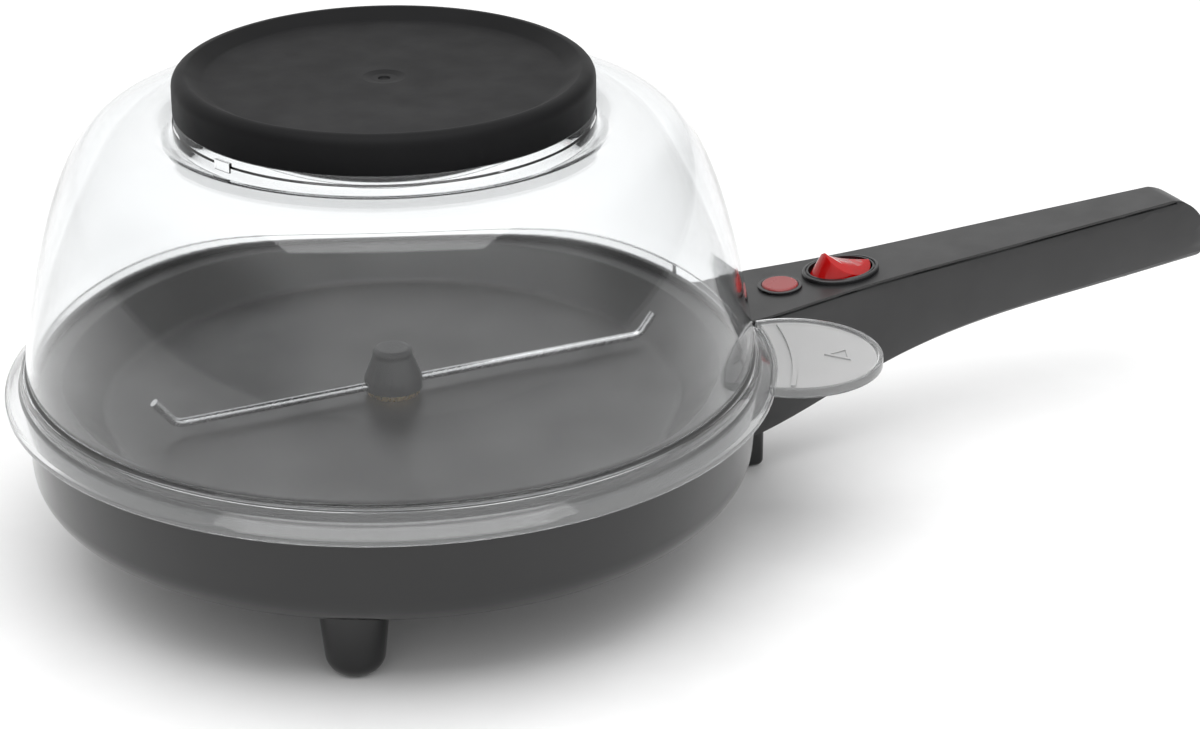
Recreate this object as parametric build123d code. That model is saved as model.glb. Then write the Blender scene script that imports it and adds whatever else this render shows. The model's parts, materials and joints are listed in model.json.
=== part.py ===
from build123d import *
import os
import math

os.makedirs("parts", exist_ok=True)

# The popcorn maker is drawn about the axis of its round pan: X runs out along the handle, Z is up,
# and the floor is Z = 0. Every part is then moved along X so that the whole length is centred.

# ---- driving dimensions, millimetres ----
flange_radius = 145.0
handle_end_x = 366.7
centre_shift = (handle_end_x - flange_radius) / 2

# clear dome
dome_wall = 2.4
dome_foot_radius = 136.0
dome_foot_z = 79.6
dome_seat_z = 76.4
dome_wall_base_z = 84.0
dome_lean = 9.5
wall_pull = 94.7
shoulder_pull = 15.5
shoulder_radius = 88.0
shoulder_z = 172.0
neck_radius = 77.5
neck_foot_z = 167.6
neck_top_z = 175.5
neck_bevel = 0.6
spigot_radius = 74.6
spigot_top_z = 182.0
neck_lug_angles = (21.3, 201.3)
neck_lug_size = (1.2, 8.0, 3.6)
flange_bottom_z = 67.5
notch_half_width = 26.5

# lift tab on the dome flange
tab_angle = -23.0
tab_centre_radius = 152.0
tab_round = 34.0
tab_bottom_z = 69.2
tab_thickness = 2.4
tab_rim_height = 1.3
tab_rim_width = 2.4
tab_rib_radius = 151.8
tab_mark_x = 170.5
tab_mark_height = 0.6

# lid
lid_radius = 77.2
lid_top_z = 189.6
lid_wall = 2.3
lid_edge = 4.4
lid_recess_radius = 66.0
lid_crest_radius = 72.0
lid_recess_depth = 3.6
lid_dish = 0.4
lid_dimple_radius = 8.0
lid_dimple_depth = 0.6
lid_gate_radius = 2.4
lid_gap = 0.02

# base housing
base_radius = 138.4
base_wall = 2.6
base_bottom_z = 30.0
base_step_z = 69.4
base_rim_radius = 136.0
base_lean = 4.0
base_fillet = 13.0
hatch_radius = 91.0
hatch_lip = 8.0
ledge_z = 72.2
ledge_radius = 132.2
ledge_width = 7.2
hatch_screw_angles = (45.0, 135.0, 225.0, 315.0)
vent_ring_radius = 58.0
vent_size = (22.0, 3.2)
wire_way_z = 53.0
wire_way_radius = 6.0
gland_angle = 62.0
gland_z = 50.0
gland_radius = 6.0
gland_bore = 3.2

# heating pan
pan_rim_radius = 131.8
pan_sheet = 1.8
pan_floor_z = 60.0
pan_floor_radius = 108.0
pan_wall_top_radius = 124.0
pan_boss_radius = 6.0
pan_boss_bottom = 50.0
pan_bore = 7.0

# feet
foot_ring_radius = 108.0
foot_top_radius = 13.2
foot_low_radius = 10.2
foot_angles = (120.0, 240.0)
foot_head_z = 12.0
foot_bore = 3.6
screw_radius = 2.0
handle_foot_x = (142.0, 156.5)
handle_foot_half_width = 8.5
handle_foot_top_z = 19.0

# drive
shaft_radius = 4.0
shaft_play = 0.05
shaft_top_z = 74.0
shaft_flat = 2.9
hub_low_z = 62.3
hub_top_z = 78.0
hub_radius = 11.0
arm_z = 63.9
arm_radius = 1.6
motor_radius = 27.0
motor_ear_radius = 33.0
motor_ear_angles = (60.0, 240.0)
motor_bottom_z = 33.4
motor_top_z = 49.4
shield_radius = 97.0
shield_sheet = 1.0
element_ring_radius = 75.0
element_tube_radius = 3.0

# handle
handle_top_at_root = 71.9
handle_top_slope = 0.054
handle_wall = 2.6
handle_screw_y = (-13.0, 13.0)
handle_screw_z = (42.0, 57.0)
cover_thickness = 3.0
cover_screw_x = (228.0, 330.0)
crease_x = (140.0, 349.0)
crease_below_top = 1.0
crease_height = 1.1
crease_depth = 1.0
lamp_x = 166.0
lamp_barrel_radius = 7.9
lamp_lens_radius = 7.3
lamp_rim_radius = 8.9
switch_x = 193.5
bezel_length = 32.4
bezel_width = 26.0
bezel_height = 1.8
bowl_length = 27.0
bowl_width = 21.8
bowl_wall = 1.0
bowl_depth = 10.8
switch_length = 22.0
switch_width = 14.0
switch_depth = 17.0
rocker_length = 26.2
rocker_width = 20.8
rocker_draft = 13.0
rocker_tilt = 20.0
rocker_end_height = 9.5
rocker_middle_height = 6.7
rocker_low = -1.8
rocker_flank_y = 4.8
rocker_flank_angle = 28.0
pivot_z = -2.6


# ---- helpers ----
def polar(radius, angle, z=0.0):
    """Point at a radius and an angle from the handle, seen from above."""
    a = math.radians(angle)
    return (radius * math.cos(a), radius * math.sin(a), z)


def lathe(outline, rounds=()):
    """Turn a closed (radius, z) outline about the pan axis; rounds lists (corner number, radius)."""
    face = make_face(Polyline(*outline, close=True))
    for index, radius in rounds:
        x, y = outline[index]
        corner = face.vertices().sort_by_distance(Vector(x, y, 0))[0]
        face = fillet(corner, radius)
    return revolve(Plane.XZ * face, Axis.Z, 360)


def tube(outer, inner, bottom, top):
    """Upright ring on the pan axis."""
    ring = Circle(outer) - Circle(inner)
    return extrude(Plane.XY.offset(bottom) * ring, top - bottom)


def rod(radius, bottom, top):
    """Upright cylinder on the pan axis."""
    return extrude(Plane.XY.offset(bottom) * Circle(radius), top - bottom)


def block(x_range, y_range, z_range):
    """Box between three pairs of limits."""
    size = [b - a for a, b in (x_range, y_range, z_range)]
    middle = [(a + b) / 2 for a, b in (x_range, y_range, z_range)]
    return Pos(*middle) * Box(*size)


def bent_rod(points, radius, bend):
    """Round rod or wire along straight runs joined by arcs."""
    path = FilletPolyline(*points, radius=bend)
    start = Plane(origin=path @ 0, z_dir=path % 0)
    return sweep(start * Circle(radius), path=path)


def pan_head_screw(radius, head_radius, head_height, length):
    """Screw standing head down at the origin, thread pointing up."""
    head = extrude(Circle(head_radius), head_height)
    head = fillet(head.edges().sort_by(Axis.Z)[0], head_height * 0.4)
    drive = Pos(0, 0, head_height * 0.25) * Box(head_radius * 1.2, head_radius * 0.25, head_height * 0.5)
    stem = Pos(0, 0, head_height) * extrude(Circle(radius), length)
    return head - drive + stem


def save(name, shape):
    """Write one part, moved so the overall length is centred."""
    pieces = list(shape) if isinstance(shape, (list, ShapeList)) else shape.solids()
    moved = [Pos(-centre_shift, 0, 0) * piece for piece in pieces]
    solids = [solid for piece in moved for solid in piece.solids()]
    export_step(solids[0] if len(solids) == 1 else Compound(solids), "parts/" + name + ".step")


# ---- base ----
def base_outline_radius(z):
    """Outer radius of the leaning housing wall at a height."""
    return base_radius - (base_step_z - z) * math.tan(math.radians(base_lean))


def base_envelope(extra):
    """Solid body of the housing's outside, grown by a small gap."""
    low = base_outline_radius(base_bottom_z)
    outline = [
        (0, base_bottom_z - extra),
        (low + extra, base_bottom_z - extra),
        (base_radius + extra, base_step_z),
        (base_radius + extra, base_step_z + 0.8),
        (base_rim_radius + extra, base_step_z + 2.6),
        (base_rim_radius + extra, dome_seat_z + 3),
        (0, dome_seat_z + 3),
    ]
    return lathe(outline, [(1, base_fillet)])


def base_housing():
    """Black bowl-shaped housing: wall, pan ledge, hatch lip and screw bosses."""
    low = base_outline_radius(base_bottom_z)
    floor_top = base_bottom_z + base_wall
    outer = [
        (hatch_radius, base_bottom_z),
        (low, base_bottom_z),
        (base_radius, base_step_z),
        (base_radius, base_step_z + 0.8),
        (base_rim_radius, base_step_z + 2.6),
        (base_rim_radius, dome_seat_z),
        (ledge_radius, dome_seat_z),
        (ledge_radius, ledge_z),
        (ledge_radius - ledge_width, ledge_z),
        (ledge_radius - ledge_width, ledge_z - base_wall),
        (base_radius - base_wall - 0.4, ledge_z - base_wall - 5.5),
        (low - base_wall, floor_top),
        (hatch_radius, floor_top),
    ]
    shell = lathe(outer, [(1, base_fillet), (11, base_fillet - base_wall)])
    lip = tube(hatch_radius + 1.5, hatch_radius - hatch_lip, floor_top - 0.4, floor_top + 1.8)
    shell = shell + lip
    for angle in foot_angles + (0.0,):
        x, y, _ = polar(foot_ring_radius, angle)
        post = Pos(x, y, 0) * rod(pan_boss_radius, floor_top - 0.5, pan_boss_bottom)
        shell = shell + post
        shell = shell - Pos(x, y, 0) * rod(screw_radius + 0.3, base_bottom_z - 1, pan_boss_bottom + 1)
    for angle in hatch_screw_angles:
        x, y, _ = polar(hatch_radius - hatch_lip / 2, angle)
        shell = shell - Pos(x, y, 0) * rod(1.3, floor_top - 2, floor_top + 5)
    for y in handle_screw_y:
        for z in handle_screw_z:
            shell = shell - Pos(base_radius - 8, y, z) * Rot(0, 90, 0) * Cylinder(2.2, 30)
    wire_way = Pos(base_radius - 6, 0, wire_way_z) * Rot(0, 90, 0) * Cylinder(wire_way_radius, 30)
    gx, gy, _ = polar(base_radius - 4, gland_angle)
    gland_hole = Pos(gx, gy, gland_z) * Rot(0, 0, gland_angle) * Rot(0, 90, 0) * Cylinder(gland_radius + 0.1, 26)
    return shell - wire_way - gland_hole


def bottom_plate():
    """Round sheet hatch that closes the underside, with louvred vent slots."""
    plate = rod(hatch_radius - 0.4, base_bottom_z + 0.2, base_bottom_z + 2.0)
    for angle in hatch_screw_angles:
        x, y, _ = polar(hatch_radius - hatch_lip / 2, angle)
        plate = plate - Pos(x, y, 0) * rod(1.8, base_bottom_z - 1, base_bottom_z + 4)
    for angle in range(0, 360, 30):
        cutter = extrude(SlotOverall(*vent_size), 6)
        x, y, _ = polar(vent_ring_radius, angle)
        plate = plate - Pos(x, y, base_bottom_z - 1) * Rot(0, 0, angle) * cutter
    return plate


def hatch_screws():
    """Four small screws of the hatch."""
    screws = []
    for angle in hatch_screw_angles:
        x, y, _ = polar(hatch_radius - hatch_lip / 2, angle)
        screws.append(Pos(x, y, base_bottom_z - 1.4) * pan_head_screw(1.25, 2.6, 1.4, 5.0))
    return screws


def foot():
    """Hollow tapered foot standing on the pan axis, rounded at the bottom."""
    top = base_bottom_z - 0.05
    outline = [
        (0, 0),
        (foot_low_radius, 0),
        (foot_top_radius, top),
        (0, top),
    ]
    cone = lathe(outline, [(1, 7.5)])
    bore = rod(foot_bore, -1, foot_head_z)
    way = rod(screw_radius + 0.3, foot_head_z - 1, top + 1)
    return cone - bore - way


def feet():
    """Two cone feet, a third of a turn either side of the handle."""
    return [Pos(*polar(foot_ring_radius, angle)) * foot() for angle in foot_angles]


def foot_screws():
    """Long screws that hold foot, housing and pan together."""
    length = pan_boss_bottom + 6.0 - foot_head_z
    screws = []
    for angle in foot_angles:
        x, y, _ = polar(foot_ring_radius, angle)
        screws.append(Pos(x, y, foot_head_z - 2.2) * pan_head_screw(screw_radius, 3.4, 2.2, length))
    return screws


def pan_screw():
    """Screw that holds housing and pan together on the handle side."""
    length = pan_boss_bottom + 6.0 - base_bottom_z
    x, y, _ = polar(foot_ring_radius, 0)
    return Pos(x, y, base_bottom_z - 2.2) * pan_head_screw(screw_radius, 3.4, 2.2, length)


# ---- pan and heater ----
def heating_pan():
    """Shallow round pan with a flat rim, three cast bosses below and a bored centre."""
    floor_low = pan_floor_z - pan_sheet
    outline = [
        (pan_bore, floor_low),
        (pan_floor_radius + 0.8, floor_low),
        (pan_wall_top_radius + 0.6, ledge_z),
        (pan_rim_radius, ledge_z),
        (pan_rim_radius, ledge_z + pan_sheet),
        (pan_wall_top_radius - 0.8, ledge_z + pan_sheet),
        (pan_floor_radius, pan_floor_z),
        (pan_bore, pan_floor_z),
    ]
    rounds = [(1, 7.0), (6, 6.0), (5, 1.6), (4, 0.7)]
    pan = lathe(outline, rounds)
    for angle in foot_angles + (0.0,):
        x, y, _ = polar(foot_ring_radius, angle)
        boss = Pos(x, y, 0) * rod(pan_boss_radius - 0.5, pan_boss_bottom, floor_low + 1.0)
        pan = pan + boss
        pan = pan - Pos(x, y, 0) * rod(screw_radius, pan_boss_bottom - 1, pan_boss_bottom + 6.2)
    return pan


def shaft_bush():
    """Flanged bush in the middle of the pan that the drive shaft runs in."""
    barrel = tube(pan_bore - 0.05, shaft_radius + shaft_play, pan_floor_z - 7.0, pan_floor_z + 0.2)
    flange = tube(10.0, shaft_radius + shaft_play, pan_floor_z + 0.05, pan_floor_z + 2.0)
    return barrel + flange


def bush_nut():
    """Thin hexagon nut that holds the bush from below."""
    top = pan_floor_z - pan_sheet - 0.05
    nut = extrude(Plane.XY.offset(top - 2.6) * RegularPolygon(10.5, 6), 2.6)
    return nut - rod(pan_bore, top - 4, top + 1)


def heating_element():
    """Sheathed ring heater under the pan with its two ends turned in and fitted with pins."""
    z = pan_floor_z - pan_sheet - element_tube_radius - 0.1
    half_gap = 16.0
    start = polar(element_ring_radius, half_gap, z)
    end = polar(element_ring_radius, 360 - half_gap, z)
    ring = ThreePointArc(start, polar(element_ring_radius, 180, z), end)
    plane = Plane(origin=start, z_dir=ring % 0)
    sheath = sweep(plane * Circle(element_tube_radius), path=ring)
    pins = []
    for angle, turn in ((half_gap, -90), (-half_gap, 90)):
        tip = Pos(*polar(element_ring_radius, angle, z)) * Rot(0, 0, angle + turn)
        cold_end = tip * Pos(4.5, 0, 0) * Rot(0, 90, 0) * Cylinder(1.6, 10)
        pins.append(cold_end)
    return sheath + pins[0] + pins[1]


def element_clamps():
    """Three little saddles that press the ring heater to the pan."""
    z = pan_floor_z - pan_sheet - element_tube_radius - 0.1
    inner = element_tube_radius + 0.1
    clamps = []
    for angle in (60.0, 180.0, 300.0):
        arch = Cylinder(inner + 1.2, 8, rotation=(90, 0, 0)) - Cylinder(inner, 9, rotation=(90, 0, 0))
        arch = arch - Pos(0, 0, 5) * Box(12, 12, 10)
        ears = Pos(0, 0, 1.2) * Box(20, 8, 1.2) - Pos(0, 0, 1.2) * Box(2 * inner, 9, 2)
        clamp = arch + ears + Pos(inner + 0.6, 0, 0.5) * Box(1.2, 8, 1.6)
        clamp = clamp + Pos(-inner - 0.6, 0, 0.5) * Box(1.2, 8, 1.6)
        clamps.append(Pos(*polar(element_ring_radius, angle, z)) * Rot(0, 0, angle) * clamp)
    return clamps


def shield_post_places():
    """Places of the three posts between shield and pan."""
    return [polar(50.0, angle) for angle in (30.0, 150.0, 270.0)]


def heat_shield():
    """Round bright sheet between the heater and the works below."""
    low = motor_top_z + 0.1
    outline = [
        (9.0, low),
        (shield_radius - 3, low),
        (shield_radius, low - 5),
        (shield_radius + shield_sheet, low - 5),
        (shield_radius - 2.4, low + shield_sheet),
        (9.0, low + shield_sheet),
    ]
    sheet = lathe(outline)
    for x, y, _ in shield_post_places():
        sheet = sheet - Pos(x, y, 0) * rod(1.7, low - 1, low + 3)
    for angle in motor_ear_angles:
        x, y, _ = polar(motor_ear_radius, angle)
        sheet = sheet - Pos(x, y, 0) * rod(1.8, low - 1, low + 3)
    for angle in (20.0, 340.0, 200.0):
        x, y, _ = polar(84.0, angle)
        sheet = sheet - Pos(x, y, 0) * rod(5.0, low - 1, low + 3)
    return sheet


def shield_posts():
    """Three threaded posts that hang the shield below the pan."""
    low = motor_top_z + 0.1 + shield_sheet
    top = pan_floor_z - pan_sheet
    posts = []
    for x, y, _ in shield_post_places():
        body = extrude(Plane.XY.offset(low) * RegularPolygon(4.4, 6), top - low)
        posts.append(Pos(x, y, 0) * (body - rod(1.5, low - 1, low + 5)))
    return posts


def shield_screws():
    """Three screws from below into the shield posts."""
    z = motor_top_z + 0.1 - 1.6
    return [Pos(x, y, z) * pan_head_screw(1.5, 2.9, 1.6, 5.0) for x, y, _ in shield_post_places()]


def gear_motor():
    """Sealed geared motor: round can, two ears and a short neck round the output."""
    can = rod(motor_radius, motor_bottom_z, motor_top_z)
    can = fillet(can.edges().filter_by(GeomType.CIRCLE), 1.4)
    can = can - rod(shaft_radius + 0.3, motor_top_z - 9, motor_top_z + 1)
    for angle in motor_ear_angles:
        ear = Pos(*polar(motor_ear_radius - 6, angle, motor_top_z - 0.9)) * Rot(0, 0, angle) * Box(14, 12, 1.6)
        tip = Pos(*polar(motor_ear_radius, angle, motor_top_z - 0.9)) * Cylinder(6, 1.6)
        hole = Pos(*polar(motor_ear_radius, angle, motor_top_z - 0.9)) * Cylinder(1.7, 5)
        can = can + (ear + tip - rod(motor_radius - 2, motor_bottom_z, motor_top_z)) - hole
    return can


def motor_screws():
    """Two screws with nuts through the motor's ears and the shield."""
    screws = []
    for angle in motor_ear_angles:
        x, y, _ = polar(motor_ear_radius, angle)
        screw = Pos(0, 0, motor_top_z - 3.4) * pan_head_screw(1.5, 2.9, 1.6, 6.0)
        nut_low = motor_top_z + 0.1 + shield_sheet
        nut = extrude(Plane.XY.offset(nut_low) * RegularPolygon(3.2, 6), 2.2)
        screws.append(Pos(x, y, 0) * (screw + nut))
    return screws


def thermostat():
    """Disc thermostat clipped under the pan."""
    top = pan_floor_z - pan_sheet
    body = rod(8.0, top - 5.8, top)
    tabs = Pos(0, 0, top - 5.0) * Box(24, 5, 0.8)
    return Pos(-20, 38, 0) * (body + tabs)


def thermal_fuse():
    """Small barrel fuse held near the pan floor."""
    z = pan_floor_z - pan_sheet - 2.6
    barrel = Cylinder(2.0, 12, rotation=(0, 90, 0))
    pins = Cylinder(0.6, 24, rotation=(0, 90, 0))
    return Pos(-30, -34, z) * (barrel + pins)


def terminal_block():
    """Screw terminal block on the housing floor beside the handle."""
    floor_top = base_bottom_z + base_wall
    body = block((96, 112), (23, 47), (floor_top, floor_top + 9))
    for y in (27, 35, 43):
        body = body - Pos(104, y, floor_top + 6) * Cylinder(2.0, 8)
        body = body - Pos(104, y, floor_top + 4) * Rot(0, 90, 0) * Cylinder(1.6, 30)
    return body


# ---- drive and stirrer ----
def drive_shaft():
    """Motor output shaft with two flats at the top for the stirrer."""
    low = motor_top_z - 7
    shaft = rod(shaft_radius, low, shaft_top_z)
    for side in (-1, 1):
        shaft = shaft - Pos(side * (shaft_flat + 5), 0, shaft_top_z - 3.5) * Box(10, 20, 9.0)
    return shaft


def stirrer_hub():
    """Plastic hub that drops over the shaft's flats."""
    outline = [
        (0, hub_low_z),
        (hub_radius, hub_low_z),
        (hub_radius, hub_low_z + 4),
        (7.5, hub_top_z - 3),
        (7.5, hub_top_z),
        (0, hub_top_z),
    ]
    hub = lathe(outline, [(4, 2.0), (3, 3.0)])
    socket = rod(shaft_radius + 0.25, hub_low_z - 1, shaft_top_z - 8)
    flats = Box(2 * shaft_flat + 0.3, 2 * shaft_radius + 0.5, 9.0)
    upper = Pos(0, 0, shaft_top_z - 3.6) * flats & rod(shaft_radius + 0.25, hub_low_z, shaft_top_z + 0.4)
    hub = hub - socket - upper
    for side in (-1, 1):
        hub = hub - Pos(side * 10, 0, arm_z) * Rot(0, 90, 0) * Cylinder(arm_radius + 0.05, 10)
    return hub


def stirrer_arm(reach, rise):
    """Bent wire arm lying just over the pan floor, its tip turned up the pan wall."""
    points = [(5.2, 0, arm_z), (reach, 0, arm_z), (reach + rise * 0.8, 0, arm_z + rise)]
    return bent_rod(points, arm_radius, 6.0)


def stirrer_arms():
    """Long arm and short arm, opposite each other."""
    return [stirrer_arm(104, 8), Rot(0, 0, 180) * stirrer_arm(86, 10)]


# ---- dome and lid ----
def dome_curve(inset):
    """Rising wall curve of the dome, from the wall base to the crest, moved inward by inset."""
    lean = math.radians(dome_lean)
    foot = (dome_foot_radius + 0.3 - inset, dome_wall_base_z)
    first = (foot[0] - wall_pull * math.sin(lean), foot[1] + wall_pull * math.cos(lean) - inset)
    second = (shoulder_radius + shoulder_pull, shoulder_z - inset)
    crest = (shoulder_radius, shoulder_z - inset)
    return Bezier(foot, first, second, crest)


def dome_section():
    """Half section of dome wall, foot ring, flange and neck."""
    t = dome_wall
    outer = dome_curve(0)
    inner = dome_curve(t)
    crest_out = (shoulder_radius, shoulder_z)
    crest_in = (shoulder_radius, shoulder_z - t)
    neck_in = spigot_radius - t
    bevel_radius = neck_radius - neck_bevel
    dip = Bezier(crest_out, (shoulder_radius - 5.0, shoulder_z), (neck_radius + 2.2, neck_foot_z),
                 (neck_radius, neck_foot_z))
    neck = Polyline(
        (neck_radius, neck_foot_z),
        (neck_radius, neck_top_z - 3.7),
        (bevel_radius, neck_top_z - 3.1),
        (bevel_radius, neck_top_z),
        (spigot_radius, neck_top_z),
        (spigot_radius, spigot_top_z - 0.6),
        (spigot_radius - 0.6, spigot_top_z),
        (neck_in, spigot_top_z),
        (neck_in, neck_foot_z - 1.6),
    )
    under = Bezier((neck_in, neck_foot_z - 1.6), (neck_radius + 1.0, neck_foot_z - 1.9),
                   (shoulder_radius - 4.0, shoulder_z - t), crest_in)
    foot_out = (dome_foot_radius + 0.3, dome_wall_base_z)
    foot_in = (dome_foot_radius + 0.3 - t, dome_wall_base_z)
    ring = [
        foot_out,
        (dome_foot_radius, dome_foot_z),
        (dome_foot_radius + 2.3, dome_foot_z - 0.8),
        (dome_foot_radius + 2.9, dome_foot_z - 5.6),
        (flange_radius - 1.2, flange_bottom_z + 3.0),
        (flange_radius, flange_bottom_z + 2.0),
        (flange_radius, flange_bottom_z),
        (flange_radius - 1.9, flange_bottom_z),
        (flange_radius - 2.6, flange_bottom_z + 1.2),
        (base_radius + 0.6, base_step_z + 2.2),
        (base_rim_radius + 0.5, base_step_z + 3.4),
        (base_rim_radius + 0.4, dome_seat_z),
        (dome_foot_radius - t + 0.3, dome_seat_z),
        foot_in,
    ]
    return make_face([outer, dip, neck, under, inner, Polyline(*ring)])


def tab_outline(shrink):
    """Round plan of the lift tab, drawn smaller by shrink."""
    return Pos(tab_centre_radius, 0, 0) * Circle(tab_round - shrink)


def lift_tab():
    """Lift tab with a raised rim, a curved rib and a raised triangle pointing at the dome."""
    plate = extrude(tab_outline(0), tab_thickness)
    rim = extrude(tab_outline(0) - tab_outline(tab_rim_width), tab_thickness + tab_rim_height)
    keep_out = Cylinder(flange_radius - 1.4, 40)
    top = tab_thickness
    rib_ring = Circle(tab_rib_radius + 0.9) - Circle(tab_rib_radius - 0.9)
    rib = extrude(Plane.XY.offset(top - 0.1) * rib_ring, 1.1)
    rib = rib & extrude(tab_outline(1.0), 20)
    big = Triangle(a=11, b=11, c=9)
    small = Triangle(a=6.6, b=6.6, c=5.4)
    mark = Pos(tab_mark_x, 0, top - 0.05) * Rot(0, 0, 90) * extrude(big - small, tab_mark_height)
    return Rot(0, 0, tab_angle) * (Pos(0, 0, tab_bottom_z) * (plate + rim - keep_out + rib + mark))


def dome():
    """Clear dome with its open neck, stepped flange, handle notch and lift tab."""
    body = revolve(Plane.XZ * dome_section(), Axis.Z, 360)
    body = body + lift_tab()
    depth, width, height = neck_lug_size
    for angle in neck_lug_angles:
        lug = Pos(neck_radius - 0.4 + depth / 2, 0, neck_foot_z + 2.6 + height / 2) * Box(depth, width, height)
        body = body + Rot(0, 0, angle) * lug
    notch = block((100, 200), (-notch_half_width, notch_half_width), (60, dome_foot_z - 0.4))
    notch = notch - rod(base_rim_radius + 0.4, 50, dome_seat_z)
    notch = notch - rod(dome_foot_radius + 0.05, dome_seat_z - 0.01, 100)
    return body - notch


def dome_lid():
    """Black snap lid: rounded skirt over the spigot, raised crest and a sunk, slightly dished top."""
    skirt_inner = lid_radius - lid_wall
    disc_z = lid_top_z - lid_recess_depth
    middle_z = disc_z - lid_dish
    outline = [
        (0, middle_z),
        (lid_recess_radius, disc_z),
        (lid_crest_radius, lid_top_z),
        (lid_radius, lid_top_z),
        (lid_radius, neck_top_z + lid_gap),
        (skirt_inner, neck_top_z + lid_gap),
        (skirt_inner, lid_top_z - 4.6),
        (lid_crest_radius - 1.6, lid_top_z - 4.6),
        (lid_recess_radius, disc_z - lid_wall),
        (0, middle_z - lid_wall),
    ]
    lid = lathe(outline, [(3, lid_edge), (2, 1.0), (1, 3.0)])
    dimple = Cone(lid_dimple_radius - 3.0, lid_dimple_radius, lid_dimple_depth)
    lid = lid - Pos(0, 0, middle_z - lid_dimple_depth / 2 + 0.06) * dimple
    gate = Cylinder(lid_gate_radius, 1.0)
    return lid - Pos(0, 0, middle_z - lid_dimple_depth) * gate


# ---- handle ----
def handle_top(x):
    """Height of the handle's flat top."""
    return handle_top_at_root + handle_top_slope * (x - 139.0)


# x position, underside height, half width at the top, half width near the bottom
handle_stations = (
    (130.0, 10.5, 24.0, 15.5),
    (150.0, 14.0, 23.0, 14.8),
    (172.0, 19.8, 20.0, 12.8),
    (196.0, 27.7, 17.0, 10.8),
    (225.0, 36.3, 15.0, 9.4),
    (262.0, 43.2, 13.5, 8.4),
    (310.0, 47.8, 11.2, 7.3),
    (350.0, 51.2, 9.2, 6.2),
    (380.0, 53.6, 8.2, 5.6),
)


def handle_profile(x, low, top_half, low_half, shrink, lift):
    """Closed D-shaped section: flat top, slightly bellied sides and a rounded bottom."""
    high = handle_top(x) - shrink
    top = top_half - shrink
    under = low_half - shrink
    low_side = low + 4.0 + lift
    belly = (top * 0.45 + under * 0.55 + 1.2, (high * 0.45 + low_side * 0.55))
    top_edge = Line((-top, high), (top, high))
    right = ThreePointArc((top, high), belly, (under, low_side))
    base = ThreePointArc((under, low_side), (0, low + lift), (-under, low_side))
    left = ThreePointArc((-under, low_side), (-belly[0], belly[1]), (-top, high))
    plane = Plane(origin=(x, 0, 0), x_dir=(0, 1, 0), z_dir=(1, 0, 0))
    return plane * make_face([top_edge, right, base, left])


def handle_form(shrink, lift):
    """Loft through all the handle stations."""
    faces = [handle_profile(x, low, a, b, shrink, lift) for x, low, a, b in handle_stations]
    return loft(faces)


def handle_side_mask(inset):
    """Side view limits that round the far end of the handle."""
    end = handle_end_x - inset
    crown = end - 22.0
    heel = (end - 13.0, 47.0)
    face_curve = Spline((crown, handle_top(crown) + 0.3), (end - 10.5, 79.2), (end - 3.4, 71.5),
                        (end, 58.5), (end - 3.0, 51.6), heel)
    frame = Polyline(heel, (heel[0], -5), (110, -5), (110, 90), (crown - 60, 90),
                     (crown, handle_top(crown) + 0.3))
    return Pos(0, 60, 0) * extrude(Plane.XZ * make_face([face_curve, frame]), 120)


def handle_plan_mask(inset):
    """Plan limits that round the far end of the handle."""
    end = handle_end_x - inset
    plan = Pos((120 + end) / 2, 0) * RectangleRounded(end - 120, 70, 9.0)
    narrow = Pos(end - 14, 0) * Circle(14.0)
    far = Pos(end, 0) * Rectangle(28, 80)
    return extrude(plan - (far - narrow), 110)


def under_band(thickness):
    """Side-view band following the underside: everything lower than thickness above it."""
    points = [(x, low + thickness) for x, low, _, _ in handle_stations]
    curve = Spline(*points)
    end = points[-1]
    start = points[0]
    close = Polyline(end, (end[0], -20), (start[0], -20), start)
    return Pos(0, 60, 0) * extrude(Plane.XZ * make_face([curve, close]), 120)


def crease():
    """Narrow groove along both sides just below the top face."""
    length = crease_x[1] - crease_x[0]
    middle = (crease_x[0] + crease_x[1]) / 2
    band = top_frame(middle) * Pos(0, 0, -crease_below_top - crease_height / 2) * Box(length, 70, crease_height)
    return band - handle_form(crease_depth, 0)


def handle_body():
    """Solid form of the whole handle, cut to the housing and to the dome foot."""
    body = handle_form(0, 0) & handle_side_mask(0) & handle_plan_mask(0)
    body = body - crease()
    body = body - base_envelope(0.1)
    return body - rod(base_rim_radius + 1.2, base_step_z + 1.6, 120)


def handle_hollow():
    """Cavity inside the handle, stopped short of the root wall and the far end."""
    inner = handle_form(handle_wall, handle_wall) & handle_side_mask(handle_wall) & handle_plan_mask(handle_wall)
    return inner - base_envelope(0.1 + 3.0)


def top_frame(x):
    """Work plane on the handle's top face at x, its Z square to the face."""
    slope = math.atan(handle_top_slope)
    origin = (x, 0, handle_top(x))
    return Plane(origin=origin, x_dir=(math.cos(slope), 0, math.sin(slope)),
                 z_dir=(-math.sin(slope), 0, math.cos(slope)))


def oval(length, width, grow=0.0):
    """Oval plan grown by a margin."""
    return Ellipse(length / 2 + grow, width / 2 + grow)


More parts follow.
